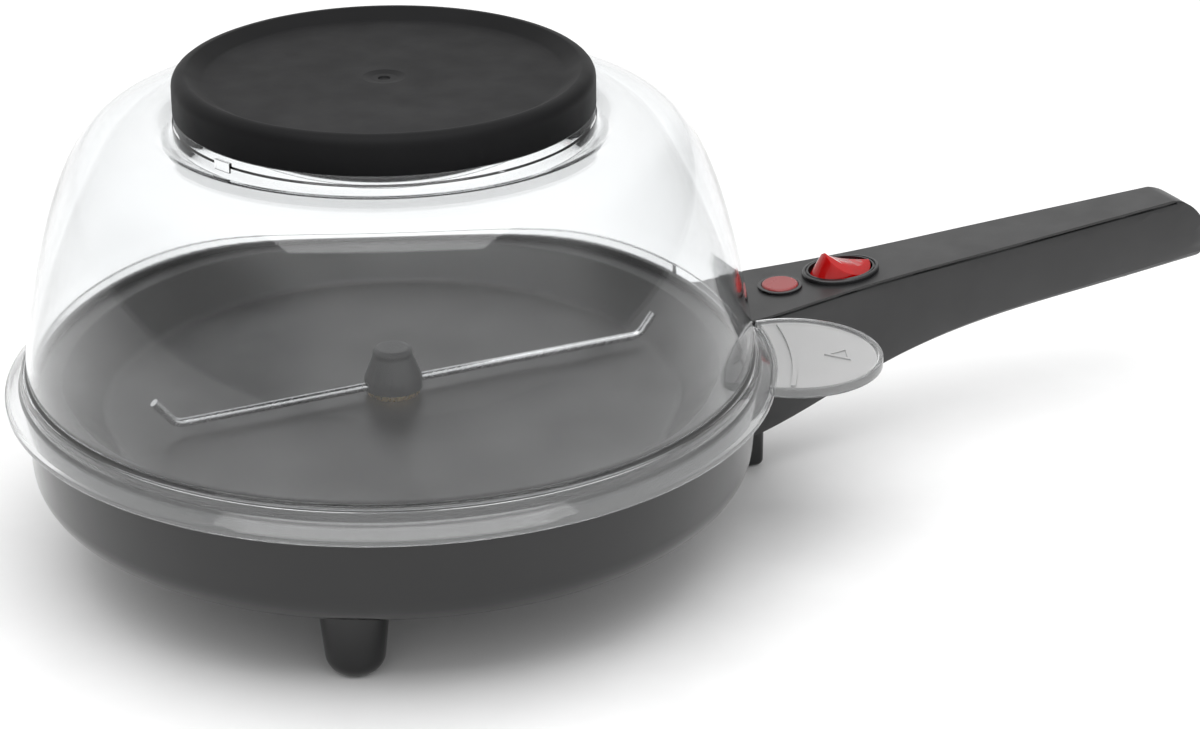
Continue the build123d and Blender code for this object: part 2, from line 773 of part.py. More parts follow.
def handle_upper_cover():
    """Main handle moulding: flat top with lamp and switch openings, sides and root wall."""
    outside = handle_body()
    shell = outside - handle_hollow()
    for y in handle_screw_y:
        for z in handle_screw_z:
            tower = Pos(base_radius + 7.6, y, z) * Rot(0, 90, 0) * Cylinder(4.2, 13)
            shell = shell + (tower & outside)
            shell = shell - Pos(base_radius + 2.6, y, z) * Rot(0, 90, 0) * Cylinder(1.6, 22)
    for x in cover_screw_x:
        shell = shell + Pos(x, 0, 0) * rod(3.2, under_height(x) + 1, handle_top(x) - handle_wall + 0.6)
        shell = shell - Pos(x, 0, 0) * rod(1.3, 0, under_height(x) + cover_thickness + 9)
    shell = shell - under_band(cover_thickness)
    shell = shell - top_frame(lamp_x) * Pos(0, 0, -3) * Cylinder(lamp_barrel_radius + 0.15, 12)
    window = oval(bowl_length, bowl_width, bowl_wall + 0.2)
    shell = shell - extrude(top_frame(switch_x).offset(-8) * window, 16)
    wire_way = Pos(base_radius + 2, 0, wire_way_z) * Rot(0, 90, 0) * Cylinder(wire_way_radius, 12)
    return shell - wire_way


def under_height(x):
    """Height of the handle's underside at x, straight between the stations."""
    for (x0, low0, _, _), (x1, low1, _, _) in zip(handle_stations, handle_stations[1:]):
        if x0 <= x <= x1:
            return low0 + (low1 - low0) * (x - x0) / (x1 - x0)
    return handle_stations[-1][1]


def handle_lower_cover():
    """Thin cover that closes the underside of the handle."""
    cover = handle_body() & under_band(cover_thickness - 0.15)
    for x in cover_screw_x:
        low = under_height(x)
        cover = cover - Pos(x, 0, 0) * rod(1.6, low - 4, low + 6)
        cover = cover - Pos(x, 0, 0) * rod(2.9, low - 4, low + 1.4)
    return cover


def cover_screws():
    """Two screws from below through the lower cover."""
    screws = []
    for x in cover_screw_x:
        screws.append(Pos(x, 0, under_height(x) - 0.2) * pan_head_screw(1.25, 2.6, 1.5, 8.0))
    return screws


def handle_screws():
    """Four screws from inside the housing wall into the handle root."""
    screws = []
    for y in handle_screw_y:
        for z in handle_screw_z:
            face_x = math.sqrt(base_outline_radius(z) ** 2 - y ** 2) - base_wall
            place = Pos(face_x - 3.1, y, z) * Rot(0, 90, 0)
            screws.append(place * pan_head_screw(1.55, 3.2, 2.0, 13.0))
    return screws


def handle_foot():
    """Short leg under the handle root, well rounded at the floor."""
    half = handle_foot_half_width
    leg = block(handle_foot_x, (-half, half), (0, handle_foot_top_z))
    leg = fillet(leg.edges().filter_by(Axis.Z), 3.0)
    leg = fillet(leg.edges().group_by(Axis.Z)[0], 2.8)
    return leg - handle_form(0, 0)


def cord_gland():
    """Strain relief bush in the housing wall where a mains lead would enter."""
    wall_out = base_outline_radius(gland_z)
    body = Cylinder(gland_radius, 11) - Cylinder(gland_bore, 14)
    inner_rib = Pos(0, 0, -4.3) * (Cylinder(gland_radius + 1.4, 1.6) - Cylinder(gland_bore, 3))
    outer_rib = Pos(0, 0, 2.6) * (Cylinder(gland_radius + 1.8, 2.4) - Cylinder(gland_bore, 4))
    x, y, _ = polar(wall_out - 0.2, gland_angle)
    return Pos(x, y, gland_z) * Rot(0, 0, gland_angle) * Rot(0, 90, 0) * (body + inner_rib + outer_rib)


# ---- lamp and switch ----
def lamp_bezel():
    """Black ring and barrel that hold the lamp lens."""
    bore = lamp_lens_radius + 0.12
    ring = Pos(0, 0, 0.55) * Cylinder(lamp_rim_radius, 1.0)
    barrel = Pos(0, 0, -4.9) * Cylinder(lamp_barrel_radius, 10.2)
    return top_frame(lamp_x) * (ring + barrel - Pos(0, 0, -4) * Cylinder(bore, 20))


def lamp_lens():
    """Low round lens of the pilot lamp."""
    disc = Pos(0, 0, 0.1) * Cylinder(lamp_lens_radius, 3.0)
    disc = fillet(disc.edges().sort_by(Axis.Z)[-1], 0.9)
    return top_frame(lamp_x) * disc


def lamp_bulb():
    """Neon bulb under the lens."""
    glass = Pos(0, 0, -6.4) * Cylinder(2.2, 7.6)
    glass = fillet(glass.edges().sort_by(Axis.Z)[-1], 1.6)
    legs = Pos(0.9, 0, -12.5) * Cylinder(0.35, 6) + Pos(-0.9, 0, -12.5) * Cylinder(0.35, 6)
    return top_frame(lamp_x) * (glass + legs)


def switch_bezel():
    """Oval bezel with a raised outer rim round the oval rocker opening."""
    plate = extrude(oval(bezel_length, bezel_width), bezel_height)
    plate = fillet(plate.edges().sort_by(Axis.Z)[-1], 0.8)
    groove_plan = oval(bezel_length, bezel_width, -1.3) - oval(bowl_length, bowl_width, 0.7)
    groove = extrude(Plane.XY.offset(bezel_height - 0.7) * groove_plan, 3)
    hole = Pos(0, 0, -1) * extrude(oval(bowl_length, bowl_width), 5)
    return top_frame(switch_x) * (Pos(0, 0, 0.05) * (plate - groove - hole))


def switch_body():
    """Switch body under the bezel: oval bowl with pivot cups, contact box and three blades."""
    bowl = Pos(0, 0, -bowl_depth) * extrude(oval(bowl_length, bowl_width, bowl_wall), bowl_depth)
    well = Pos(0, 0, 1.4 - bowl_depth) * extrude(oval(bowl_length, bowl_width), bowl_depth)
    cups = Pos(0, 0, pivot_z) * Rot(90, 0, 0) * Cylinder(1.3, bowl_width + 4)
    box_depth = switch_depth - bowl_depth + 0.5
    box = Pos(0, 0, -switch_depth + box_depth / 2) * Box(switch_length, switch_width, box_depth)
    body = bowl - well - cups + box
    for x in (-7, 0, 7):
        body = body + Pos(x, 0, -switch_depth - 3.0) * Box(0.8, 5, 6.4)
    return top_frame(switch_x) * body


def rocker():
    """Oval red rocker with a scooped ridge and two pivot pins, its dome-side end standing up."""
    reach = rocker_length
    end = rocker_end_height
    tip = rocker_length / 2 - 2.0
    side = [
        Polyline((-reach, end + 2), (-reach, rocker_low), (reach, rocker_low), (reach, end + 2)),
        Line((reach, end + 2), (tip, end)),
        ThreePointArc((tip, end), (0, rocker_middle_height), (-tip, end)),
        Line((-tip, end), (-reach, end + 2)),
    ]
    slab = Pos(0, 20, 0) * extrude(Plane.XZ * make_face(side), 40)
    cap = Pos(0, 0, rocker_low) * extrude(oval(rocker_length, rocker_width), 14, taper=rocker_draft)
    body = cap & slab
    for turn in (1, -1):
        place = Pos(0, turn * rocker_flank_y, rocker_middle_height) * Rot(-turn * rocker_flank_angle, 0, 0)
        body = body - place * Pos(0, 0, 10) * Box(60, 60, 20)
    pins = Rot(90, 0, 0) * Cylinder(1.2, bowl_width + 1.2)
    part = Rot(0, rocker_tilt, 0) * (body + pins)
    return top_frame(switch_x) * Pos(0, 0, pivot_z) * part


def wires_handle():
    """Two insulated wires from the switch through the housing wall towards the terminal block."""
    start_z = handle_top(switch_x) - switch_depth - 10
    runs = []
    for side in (-1, 1):
        y = side * 2.6
        points = [(switch_x - 4, y, start_z), (168, y, start_z - 2), (150, y, wire_way_z),
                  (121, y, wire_way_z), (118, y + 14, 47), (106, y + 26, 44)]
        runs.append(bent_rod(points, 1.3, 4.0))
    return runs


def wires_heater():
    """Two insulated wires from the terminal block in towards the heater ends."""
    floor = base_bottom_z + base_wall
    runs = []
    for y in (27.0, 35.0):
        points = [(95.4, y, floor + 4), (86, y, floor + 4), (76, y - 10, floor + 7)]
        runs.append(bent_rod(points, 1.2, 3.0))
    return runs


def main():
    """Build and write every part."""
    makers = {
        "base_housing": base_housing,
        "bottom_plate": bottom_plate,
        "hatch_screws": hatch_screws,
        "feet": feet,
        "foot_screws": foot_screws,
        "pan_screw": pan_screw,
        "heating_pan": heating_pan,
        "shaft_bush": shaft_bush,
        "bush_nut": bush_nut,
        "heating_element": heating_element,
        "element_clamps": element_clamps,
        "heat_shield": heat_shield,
        "shield_posts": shield_posts,
        "shield_screws": shield_screws,
        "gear_motor": gear_motor,
        "motor_screws": motor_screws,
        "thermostat": thermostat,
        "thermal_fuse": thermal_fuse,
        "terminal_block": terminal_block,
        "drive_shaft": drive_shaft,
        "stirrer_hub": stirrer_hub,
        "stirrer_arms": stirrer_arms,
        "dome": dome,
        "dome_lid": dome_lid,
        "handle_upper_cover": handle_upper_cover,
        "handle_lower_cover": handle_lower_cover,
        "cover_screws": cover_screws,
        "handle_screws": handle_screws,
        "handle_foot": handle_foot,
        "cord_gland": cord_gland,
        "lamp_bezel": lamp_bezel,
        "lamp_lens": lamp_lens,
        "lamp_bulb": lamp_bulb,
        "switch_bezel": switch_bezel,
        "switch_body": switch_body,
        "rocker": rocker,
        "wires_handle": wires_handle,
        "wires_heater": wires_heater,
    }
    for name, maker in makers.items():
        save(name, maker())


main()
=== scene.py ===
"""Looks of an electric popcorn maker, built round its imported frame. Metres, +X along the handle, +Z up."""

import json
import math

import bmesh
import bpy
from bpy.props import FloatProperty, FloatVectorProperty, PointerProperty
from bpy.types import Operator, Panel, PropertyGroup
from mathutils import Matrix, Vector


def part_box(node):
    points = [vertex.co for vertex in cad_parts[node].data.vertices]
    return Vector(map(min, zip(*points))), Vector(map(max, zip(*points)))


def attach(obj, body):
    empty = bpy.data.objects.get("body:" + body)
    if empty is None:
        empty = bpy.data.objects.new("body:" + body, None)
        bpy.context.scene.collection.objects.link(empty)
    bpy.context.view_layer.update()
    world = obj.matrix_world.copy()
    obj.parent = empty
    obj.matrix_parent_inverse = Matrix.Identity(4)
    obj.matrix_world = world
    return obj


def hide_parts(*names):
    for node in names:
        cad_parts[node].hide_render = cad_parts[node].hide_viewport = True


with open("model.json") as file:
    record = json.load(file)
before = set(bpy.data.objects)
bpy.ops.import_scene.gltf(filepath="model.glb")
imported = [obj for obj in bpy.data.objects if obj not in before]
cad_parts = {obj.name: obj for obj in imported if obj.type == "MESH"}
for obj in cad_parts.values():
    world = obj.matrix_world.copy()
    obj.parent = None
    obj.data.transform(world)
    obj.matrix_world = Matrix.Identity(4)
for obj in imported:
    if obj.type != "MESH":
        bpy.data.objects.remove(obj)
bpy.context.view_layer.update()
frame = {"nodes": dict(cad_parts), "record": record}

bl_info = {
    "name": "Popcorn Maker",
    "version": (1, 0, 0),
    "blender": (4, 5, 0),
    "location": "View3D > Sidebar > Popcorn Maker",
    "description": "Builds the finished pieces, materials and stage of an electric popcorn maker",
    "category": "Object",
}

MM = 0.001
FULL_TURN = 2 * math.pi
TURN_STEPS = 192
MERGE = 1e-6

BODY_OF = {node: body for body, nodes in frame["record"]["behaviour"]["bodies"].items() for node in nodes}

base_low, base_high = (Vector(corner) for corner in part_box("base_housing"))
dome_low, dome_high = (Vector(corner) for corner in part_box("dome"))
lid_low, lid_high = (Vector(corner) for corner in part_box("dome_lid"))
pan_low, pan_high = (Vector(corner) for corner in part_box("heating_pan"))
AXIS = Vector(((pan_low.x + pan_high.x) / 2, (pan_low.y + pan_high.y) / 2, 0.0))


# ---------------------------------------------------------------- sizes a user would change

class DomeSettings(PropertyGroup):
    wall: FloatProperty(name="Wall", description="Thickness of the clear wall",
                        default=2.4 * MM, unit="LENGTH")
    foot_radius: FloatProperty(name="Foot radius", description="Outer radius where wall meets flange",
                               default=136.0 * MM, unit="LENGTH")
    foot_height: FloatProperty(name="Foot height", description="Height where wall meets flange",
                               default=79.6 * MM, unit="LENGTH")
    seat_height: FloatProperty(name="Seat height", description="Height of the face that rests on the base",
                               default=76.4 * MM, unit="LENGTH")
    wall_base: FloatProperty(name="Wall base", description="Height where the curved wall starts",
                             default=84.0 * MM, unit="LENGTH")
    lean: FloatProperty(name="Lean", description="Inward lean of the wall at its base",
                        default=math.radians(9.5), subtype="ANGLE")
    wall_pull: FloatProperty(name="Wall pull", description="How long the wall keeps its lean",
                             default=94.7 * MM, unit="LENGTH")
    shoulder_pull: FloatProperty(name="Shoulder pull", description="How long the shoulder stays level",
                                 default=15.5 * MM, unit="LENGTH")
    shoulder_radius: FloatProperty(name="Shoulder radius", description="Radius of the shoulder's crest",
                                   default=88.0 * MM, unit="LENGTH")
    shoulder_height: FloatProperty(name="Shoulder height", description="Height of the shoulder's crest",
                                   default=172.0 * MM, unit="LENGTH")
    neck_radius: FloatProperty(name="Neck radius", description="Outer radius of the neck",
                               default=77.5 * MM, unit="LENGTH")
    spigot_radius: FloatProperty(name="Spigot radius", description="Outer radius of the ring inside the lid",
                                 default=74.6 * MM, unit="LENGTH")
    neck_foot: FloatProperty(name="Neck foot", description="Height of the dip round the neck",
                             default=167.6 * MM, unit="LENGTH")
    lug_angle: FloatProperty(name="Lug angle", description="Where the first of the two neck lugs sits",
                             default=math.radians(21.3), subtype="ANGLE")
    lug_span: FloatProperty(name="Lug span", description="How far a lug reaches round the neck", default=0.1,
                            subtype="ANGLE")
    notch_half: FloatProperty(name="Notch half width", description="Half the width of the handle notch",
                              default=26.5 * MM, unit="LENGTH")
    tab_angle: FloatProperty(name="Tab angle", description="Where the lift tab sits, from the handle",
                             default=math.radians(-23.0), subtype="ANGLE")
    tab_centre: FloatProperty(name="Tab centre", description="Radius at which the round tab is centred",
                              default=152.0 * MM, unit="LENGTH")
    tab_round: FloatProperty(name="Tab round", description="Radius of the round tab",
                             default=34.0 * MM, unit="LENGTH")
    tab_thickness: FloatProperty(name="Tab thickness", description="Thickness of the tab's plate",
                                 default=2.4 * MM, unit="LENGTH")
    tab_rim: FloatProperty(name="Tab rim", description="Height of the rim above the tab's deck",
                           default=1.3 * MM, unit="LENGTH")
    mark_radius: FloatProperty(name="Mark radius", description="Radius of the raised triangle on the tab",
                               default=6.4 * MM, unit="LENGTH")
    flange_frost: FloatProperty(name="Flange frost", description="How much of the frosting the flange has",
                                default=0.12, subtype="FACTOR", min=0, max=1)
    frost_share: FloatProperty(name="Frost", description="Share of white scatter on the tab's deck",
                               default=0.6, subtype="FACTOR", min=0, max=1)
    frost_tint: FloatVectorProperty(name="Frost tint", description="Colour of the frosted deck",
                                    subtype="COLOR", default=(0.56, 0.56, 0.56), min=0, max=1)
    tint: FloatVectorProperty(name="Tint", description="Colour of the clear plastic", subtype="COLOR",
                              default=(0.955, 0.965, 0.97), min=0, max=1)


class LidSettings(PropertyGroup):
    edge: FloatProperty(name="Edge round", description="Rounding of the lid's rim",
                        default=4.4 * MM, unit="LENGTH")
    wall: FloatProperty(name="Wall", description="Thickness of the lid", default=2.3 * MM, unit="LENGTH")
    crest_radius: FloatProperty(name="Crest radius", description="Radius where the rim starts to slope in",
                                default=72.0 * MM, unit="LENGTH")
    recess_radius: FloatProperty(name="Recess radius", description="Radius of the sunk disc",
                                 default=66.0 * MM, unit="LENGTH")
    recess_depth: FloatProperty(name="Recess depth", description="Depth of the sunk disc",
                                default=3.6 * MM, unit="LENGTH")
    dish: FloatProperty(name="Dish", description="Extra depth at the middle",
                        default=0.4 * MM, unit="LENGTH")
    dimple_radius: FloatProperty(name="Dimple radius", description="Radius of the soft dimple in the middle",
                                 default=8.0 * MM, unit="LENGTH")
    colour: FloatVectorProperty(name="Colour", description="Satin black of the lid", subtype="COLOR",
                                default=(0.0075, 0.0075, 0.008), min=0, max=1)


class BaseSettings(PropertyGroup):
    radius: FloatProperty(name="Radius", description="Greatest radius of the housing",
                          default=138.4 * MM, unit="LENGTH")
    wall: FloatProperty(name="Wall", description="Thickness of the housing", default=2.6 * MM, unit="LENGTH")
    step_height: FloatProperty(name="Step height",
                               description="Height where the wall steps in under the flange",
                               default=69.4 * MM, unit="LENGTH")
    rim_radius: FloatProperty(name="Rim radius", description="Radius of the rim inside the flange",
                              default=136.0 * MM, unit="LENGTH")
    lean: FloatProperty(name="Lean", description="How far the wall leans in towards the floor",
                        default=math.radians(4.0), subtype="ANGLE")
    edge: FloatProperty(name="Lower round", description="Rounding of the lower edge",
                        default=13.0 * MM, unit="LENGTH")
    hatch_radius: FloatProperty(name="Hatch radius", description="Radius of the opening underneath",
                                default=91.0 * MM, unit="LENGTH")
    hatch_lip: FloatProperty(name="Hatch lip", description="Width of the lip that carries the hatch",
                             default=8.0 * MM, unit="LENGTH")
    ledge_height: FloatProperty(name="Ledge height", description="Height of the ledge that the pan sits on",
                                default=72.2 * MM, unit="LENGTH")
    ledge_radius: FloatProperty(name="Ledge radius", description="Radius of the wall round the pan",
                                default=132.2 * MM, unit="LENGTH")
    ledge_width: FloatProperty(name="Ledge width", description="Width of the ledge",
                               default=7.2 * MM, unit="LENGTH")
    colour: FloatVectorProperty(name="Colour", description="Glossy black of the housing", subtype="COLOR",
                                default=(0.0035, 0.0035, 0.0038), min=0, max=1)


class PanSettings(PropertyGroup):
    sheet: FloatProperty(name="Sheet", description="Thickness of the pan", default=1.8 * MM, unit="LENGTH")
    floor_height: FloatProperty(name="Floor height", description="Height of the pan's floor",
                                default=60.0 * MM, unit="LENGTH")
    floor_radius: FloatProperty(name="Floor radius", description="Radius of the pan's floor",
                                default=108.0 * MM, unit="LENGTH")
    wall_radius: FloatProperty(name="Wall radius", description="Radius at the top of the pan's wall",
                               default=124.0 * MM, unit="LENGTH")
    colour: FloatVectorProperty(name="Colour", description="Dark coating of the pan", subtype="COLOR",
                                default=(0.016, 0.0148, 0.0145), min=0, max=1)


class HandleSettings(PropertyGroup):
    colour: FloatVectorProperty(name="Colour", description="Satin black of the handle", subtype="COLOR",
                                default=(0.014, 0.014, 0.0145), min=0, max=1)
    rocker: FloatVectorProperty(name="Rocker", description="Red of the rocker", subtype="COLOR",
                                default=(0.42, 0.002, 0.002), min=0, max=1)
    lamp: FloatVectorProperty(name="Lamp", description="Dull red of the lamp lens", subtype="COLOR",
                              default=(0.34, 0.05, 0.05), min=0, max=1)


class StageSettings(PropertyGroup):
    place: FloatVectorProperty(name="Camera place", description="Where the camera stands",
                               default=(-0.5138, -1.0339, 0.5598), subtype="XYZ", unit="LENGTH")
    aim: FloatVectorProperty(name="Camera aim", description="The point that the camera looks at",
                             default=(-0.0269, -0.0057, 0.0573), subtype="XYZ", unit="LENGTH")
    roll: FloatProperty(name="Camera roll", description="Turn of the camera about its view",
                        default=math.radians(-0.12), subtype="ANGLE")
    lens: FloatProperty(name="Lens", description="Focal length in millimetres", default=95.97)
    overhead: FloatProperty(name="Overhead", description="Brightness of the surroundings above",
                            default=0.95)
    backdrop: FloatProperty(name="Backdrop", description="Brightness of the surroundings behind",
                            default=1.0)
    front: FloatProperty(name="Front", description="Brightness of the surroundings on the camera's side",
                         default=1.0)
    sides: FloatProperty(name="Sides", description="Share of that brightness kept low down at both sides",
                         default=0.35)
    box_place: FloatVectorProperty(name="Top light place", description="Where the big soft light hangs",
                                   default=(-0.3, -0.45, 2.25), subtype="XYZ", unit="LENGTH")
    top_power: FloatProperty(name="Top light", description="Power of the big soft light overhead, in watts",
                             default=36.0)
    floor_size: FloatProperty(name="Floor size", description="Radius of the floor",
                              default=9.0, unit="LENGTH")
    floor_colour: FloatVectorProperty(name="Floor colour", description="Pale floor", subtype="COLOR",
                                      default=(0.90, 0.90, 0.90), min=0, max=1)


# ---------------------------------------------------------------- making shapes

def object_from(bm, name, angle=35.0):
    """Closes a bmesh into a shaded object at the origin; edges sharper than angle stay crisp."""
    mesh = bpy.data.meshes.new(name)
    bm.to_mesh(mesh)
    bm.free()
    mesh.shade_smooth()
    mesh.set_sharp_from_angle(angle=math.radians(angle))
    piece = bpy.data.objects.new(name, mesh)
    bpy.context.scene.collection.objects.link(piece)
    return piece


def rounded(corners, steps=6, closed=True):
    """Outline through (radius, height, rounding) corners, each rounded by an arc of its own radius."""
    points = []
    count = len(corners)
    for i, (x, y, r) in enumerate(corners):
        here = Vector((x, y))
        if r <= 0 or (not closed and i in (0, count - 1)):
            points.append(here)
            continue
        back = (Vector(corners[i - 1][:2]) - here).normalized()
        on = (Vector(corners[(i + 1) % count][:2]) - here).normalized()
        half = back.angle(on) / 2
        reach = r / math.tan(half)
        centre = here + (back + on).normalized() * (r / math.sin(half))
        start = here + back * reach - centre
        sweep = (here + on * reach - centre).angle_signed(start)
        for k in range(steps + 1):
            turned_start = start.copy()
            turned_start.rotate(Matrix.Rotation(sweep * k / steps, 2))
            points.append(centre + turned_start)
    return points


def bend(a, b, c, d, steps):
    """Points along a smooth curve from a to d that leaves towards b and arrives from c."""
    a, b, c, d = (Vector(p) for p in (a, b, c, d))
    ts = [k / steps for k in range(steps + 1)]
    return [a * (1 - t) ** 3 + b * 3 * t * (1 - t) ** 2 + c * 3 * t * t * (1 - t) + d * t ** 3 for t in ts]


def turned(name, outline, closed=True, angle=35.0):
    """Outline of (radius, height) points turned once about the pan axis."""
    bm = bmesh.new()
    verts = [bm.verts.new((AXIS.x + p[0], AXIS.y, p[1])) for p in outline]
    pairs = zip(verts, verts[1:] + verts[:1]) if closed else zip(verts, verts[1:])
    edges = [bm.edges.new(pair) for pair in pairs]
    bmesh.ops.spin(bm, geom=verts + edges, cent=AXIS, axis=(0, 0, 1), angle=FULL_TURN, steps=TURN_STEPS,
                   use_merge=True)
    bmesh.ops.remove_doubles(bm, verts=bm.verts, dist=MERGE)
    bmesh.ops.recalc_face_normals(bm, faces=bm.faces)
    return object_from(bm, name, angle)


def combine(piece, other, operation):
    """Joins a second piece to the first or cuts it away; the second one is used up."""
    change = piece.modifiers.new("combine", "BOOLEAN")
    change.operation = operation
    change.solver = "EXACT"
    change.object = other
    with bpy.context.temp_override(object=piece, active_object=piece):
        bpy.ops.object.modifier_apply(modifier=change.name)
    mesh = other.data
    bpy.data.objects.remove(other)
    bpy.data.meshes.remove(mesh)


def prism(name, sides, radius, height, place, spin):
    """Upright prism turned by spin, its lower face centred at place."""
    bm = bmesh.new()
    bmesh.ops.create_circle(bm, cap_ends=True, segments=sides, radius=radius)
    grown = bmesh.ops.extrude_face_region(bm, geom=bm.faces[:])
    top = [v for v in grown["geom"] if isinstance(v, bmesh.types.BMVert)]
    bmesh.ops.translate(bm, vec=(0, 0, height), verts=top)
    bmesh.ops.rotate(bm, cent=(0, 0, 0), matrix=Matrix.Rotation(spin, 3, "Z"), verts=bm.verts)
    bmesh.ops.translate(bm, vec=place, verts=bm.verts)
    bmesh.ops.recalc_face_normals(bm, faces=bm.faces)
    return object_from(bm, name, 60.0)


def ring_sector(name, inner, outer, low, high, start, sweep, steps):
    """Piece of a flat ring about the pan axis, closed at both ends."""
    bm = bmesh.new()
    corners = ((inner, low), (outer, low), (outer, high), (inner, high))
    verts = [bm.verts.new((AXIS.x + r, AXIS.y, z)) for r, z in corners]
    face = bm.faces.new(verts)
    turn = Matrix.Rotation(start, 3, "Z")
    bmesh.ops.rotate(bm, cent=AXIS, matrix=turn, verts=bm.verts)
    bmesh.ops.spin(bm, geom=[face], cent=AXIS, axis=(0, 0, 1), angle=sweep, steps=steps)
    bmesh.ops.remove_doubles(bm, verts=bm.verts, dist=MERGE)
    bmesh.ops.recalc_face_normals(bm, faces=bm.faces)
    return object_from(bm, name)


def fair_copy(node, name, angle=32.0, edge=0.0, segments=2, flat=0.4):
    """Merged copy of a CAD node with softened edges; faces within flat degrees of each other are joined."""
    bm = bmesh.new()
    bm.from_mesh(frame["nodes"][node].data)
    bmesh.ops.remove_doubles(bm, verts=bm.verts, dist=2e-6)
    if flat > 0:
        bmesh.ops.dissolve_limit(bm, angle_limit=math.radians(flat), verts=bm.verts, edges=bm.edges)
    piece = object_from(bm, name, angle)
    if edge > 0:
        soft = piece.modifiers.new("soft edges", "BEVEL")
        soft.width = edge
        soft.segments = segments
        soft.limit_method = "ANGLE"
        soft.angle_limit = math.radians(40)
    even = piece.modifiers.new("even shading", "WEIGHTED_NORMAL")
    even.keep_sharp = True
    return piece


def place_piece(piece, material, node):
    """Gives a piece its material and body, and hides the CAD node that it stands for."""
    piece.data.materials.clear()
    piece.data.materials.append(material)
    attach(piece, BODY_OF[node])
    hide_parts(node)


# ---------------------------------------------------------------- making materials

class Recipe:
    """A material being mixed: its shader, object coordinates and short ways to add nodes."""

    def __init__(self, name):
        self.material = bpy.data.materials.new(name)
        self.material.use_nodes = True
        self.tree = self.material.node_tree
        self.shader = self.tree.nodes["Principled BSDF"]
        self.coords = self.tree.nodes.new("ShaderNodeTexCoord").outputs["Object"]

    def link(self, output, target):
        self.tree.links.new(output, target)

    def stretched(self, scale):
        """Object coordinates stretched along their axes."""
        mapping = self.tree.nodes.new("ShaderNodeMapping")
        mapping.inputs["Scale"].default_value = scale
        self.link(self.coords, mapping.inputs["Vector"])
        return mapping.outputs["Vector"]

    def noise(self, scale, detail=4.0, vector=None):
        node = self.tree.nodes.new("ShaderNodeTexNoise")
        node.inputs["Scale"].default_value = scale
        node.inputs["Detail"].default_value = detail
        node.inputs["Roughness"].default_value = 0.55
        self.link(vector or self.coords, node.inputs["Vector"])
        return node.outputs["Fac"]

    def span(self, value, low, high, from_low=0.3, from_high=0.7):
        """Value stretched from its usual span to low..high."""
        node = self.tree.nodes.new("ShaderNodeMapRange")
        node.inputs["From Min"].default_value = from_low
        node.inputs["From Max"].default_value = from_high
        node.inputs["To Min"].default_value = low
        node.inputs["To Max"].default_value = high
        self.link(value, node.inputs["Value"])
        return node.outputs["Result"]

    def blend(self, factor, first, second):
        node = self.tree.nodes.new("ShaderNodeMix")
        node.data_type = "RGBA"
        node.inputs["A"].default_value = (*first, 1)
        node.inputs["B"].default_value = (*second, 1)
        self.link(factor, node.inputs["Factor"])
        return node.outputs["Result"]

    def maths(self, operation, first, second):
        node = self.tree.nodes.new("ShaderNodeMath")
        node.operation = operation
        self.link(first, node.inputs[0])
        self.link(second, node.inputs[1])
        return node.outputs["Value"]

    def reach(self, middle):
        """Level distance from an upright axis through middle."""
        flat = self.tree.nodes.new("ShaderNodeVectorMath")
        flat.operation = "MULTIPLY_ADD"
        flat.inputs[1].default_value = (1, 1, 0)
        flat.inputs[2].default_value = (-middle.x, -middle.y, 0)
        self.link(self.coords, flat.inputs[0])
        length = self.tree.nodes.new("ShaderNodeVectorMath")
        length.operation = "LENGTH"
        self.link(flat.outputs["Vector"], length.inputs[0])
        return length.outputs["Value"]

    def bump(self, height, depth, strength=1.0, before=None):
        node = self.tree.nodes.new("ShaderNodeBump")
        node.inputs["Distance"].default_value = depth
        node.inputs["Strength"].default_value = strength
        self.link(height, node.inputs["Height"])
        if before is not None:
            self.link(before, node.inputs["Normal"])
        return node.outputs["Normal"]

    def set(self, **sockets):
        """Sets shader sockets that are the same all over."""
        for key, value in sockets.items():
            self.shader.inputs[key.replace("_", " ")].default_value = value

    def feed(self, **sockets):
        for key, output in sockets.items():
            self.link(output, self.shader.inputs[key.replace("_", " ")])


def moulded(name, colour, roughness, spread=0.06, grain=900.0, grain_depth=0.00002, tone=0.25, **sockets):
    """Moulded plastic: slight drift of tone, uneven gloss and a fine grain."""
    mix = Recipe(name)
    drift = mix.span(mix.noise(14.0, 3.0), 0, 1)
    pale = tuple(min(1.0, c * (1 + tone)) for c in colour)
    deep = tuple(c * (1 - tone) for c in colour)
    gloss = mix.span(mix.noise(60.0, 5.0), roughness - spread, roughness + spread)
    fine = mix.bump(mix.noise(grain, 2.0), grain_depth, 0.6)
    broad = mix.bump(mix.noise(26.0, 2.0), 0.00012, 0.12, before=fine)
    mix.feed(Base_Color=mix.blend(drift, deep, pale), Roughness=gloss, Normal=broad)
    mix.set(**sockets)
    return mix.material


def metal(name, colour, roughness, stretch=(1, 1, 1), grain=700.0, spread=0.08, tone=0.12):
    """Bare metal with fine drawn or turned marks."""
    mix = Recipe(name)
    marks = mix.noise(grain, 3.0, vector=mix.stretched(stretch))
    stain = mix.span(mix.noise(35.0, 4.0), 0, 1)
    pale = tuple(min(1.0, c * (1 + tone)) for c in colour)
    deep = tuple(c * (1 - tone) for c in colour)
    polish = mix.span(marks, roughness - spread, roughness + spread)
    mix.feed(Base_Color=mix.blend(stain, deep, pale), Roughness=polish,
             Normal=mix.bump(marks, 0.00003, 0.35))
    mix.set(Metallic=1.0)
    return mix.material


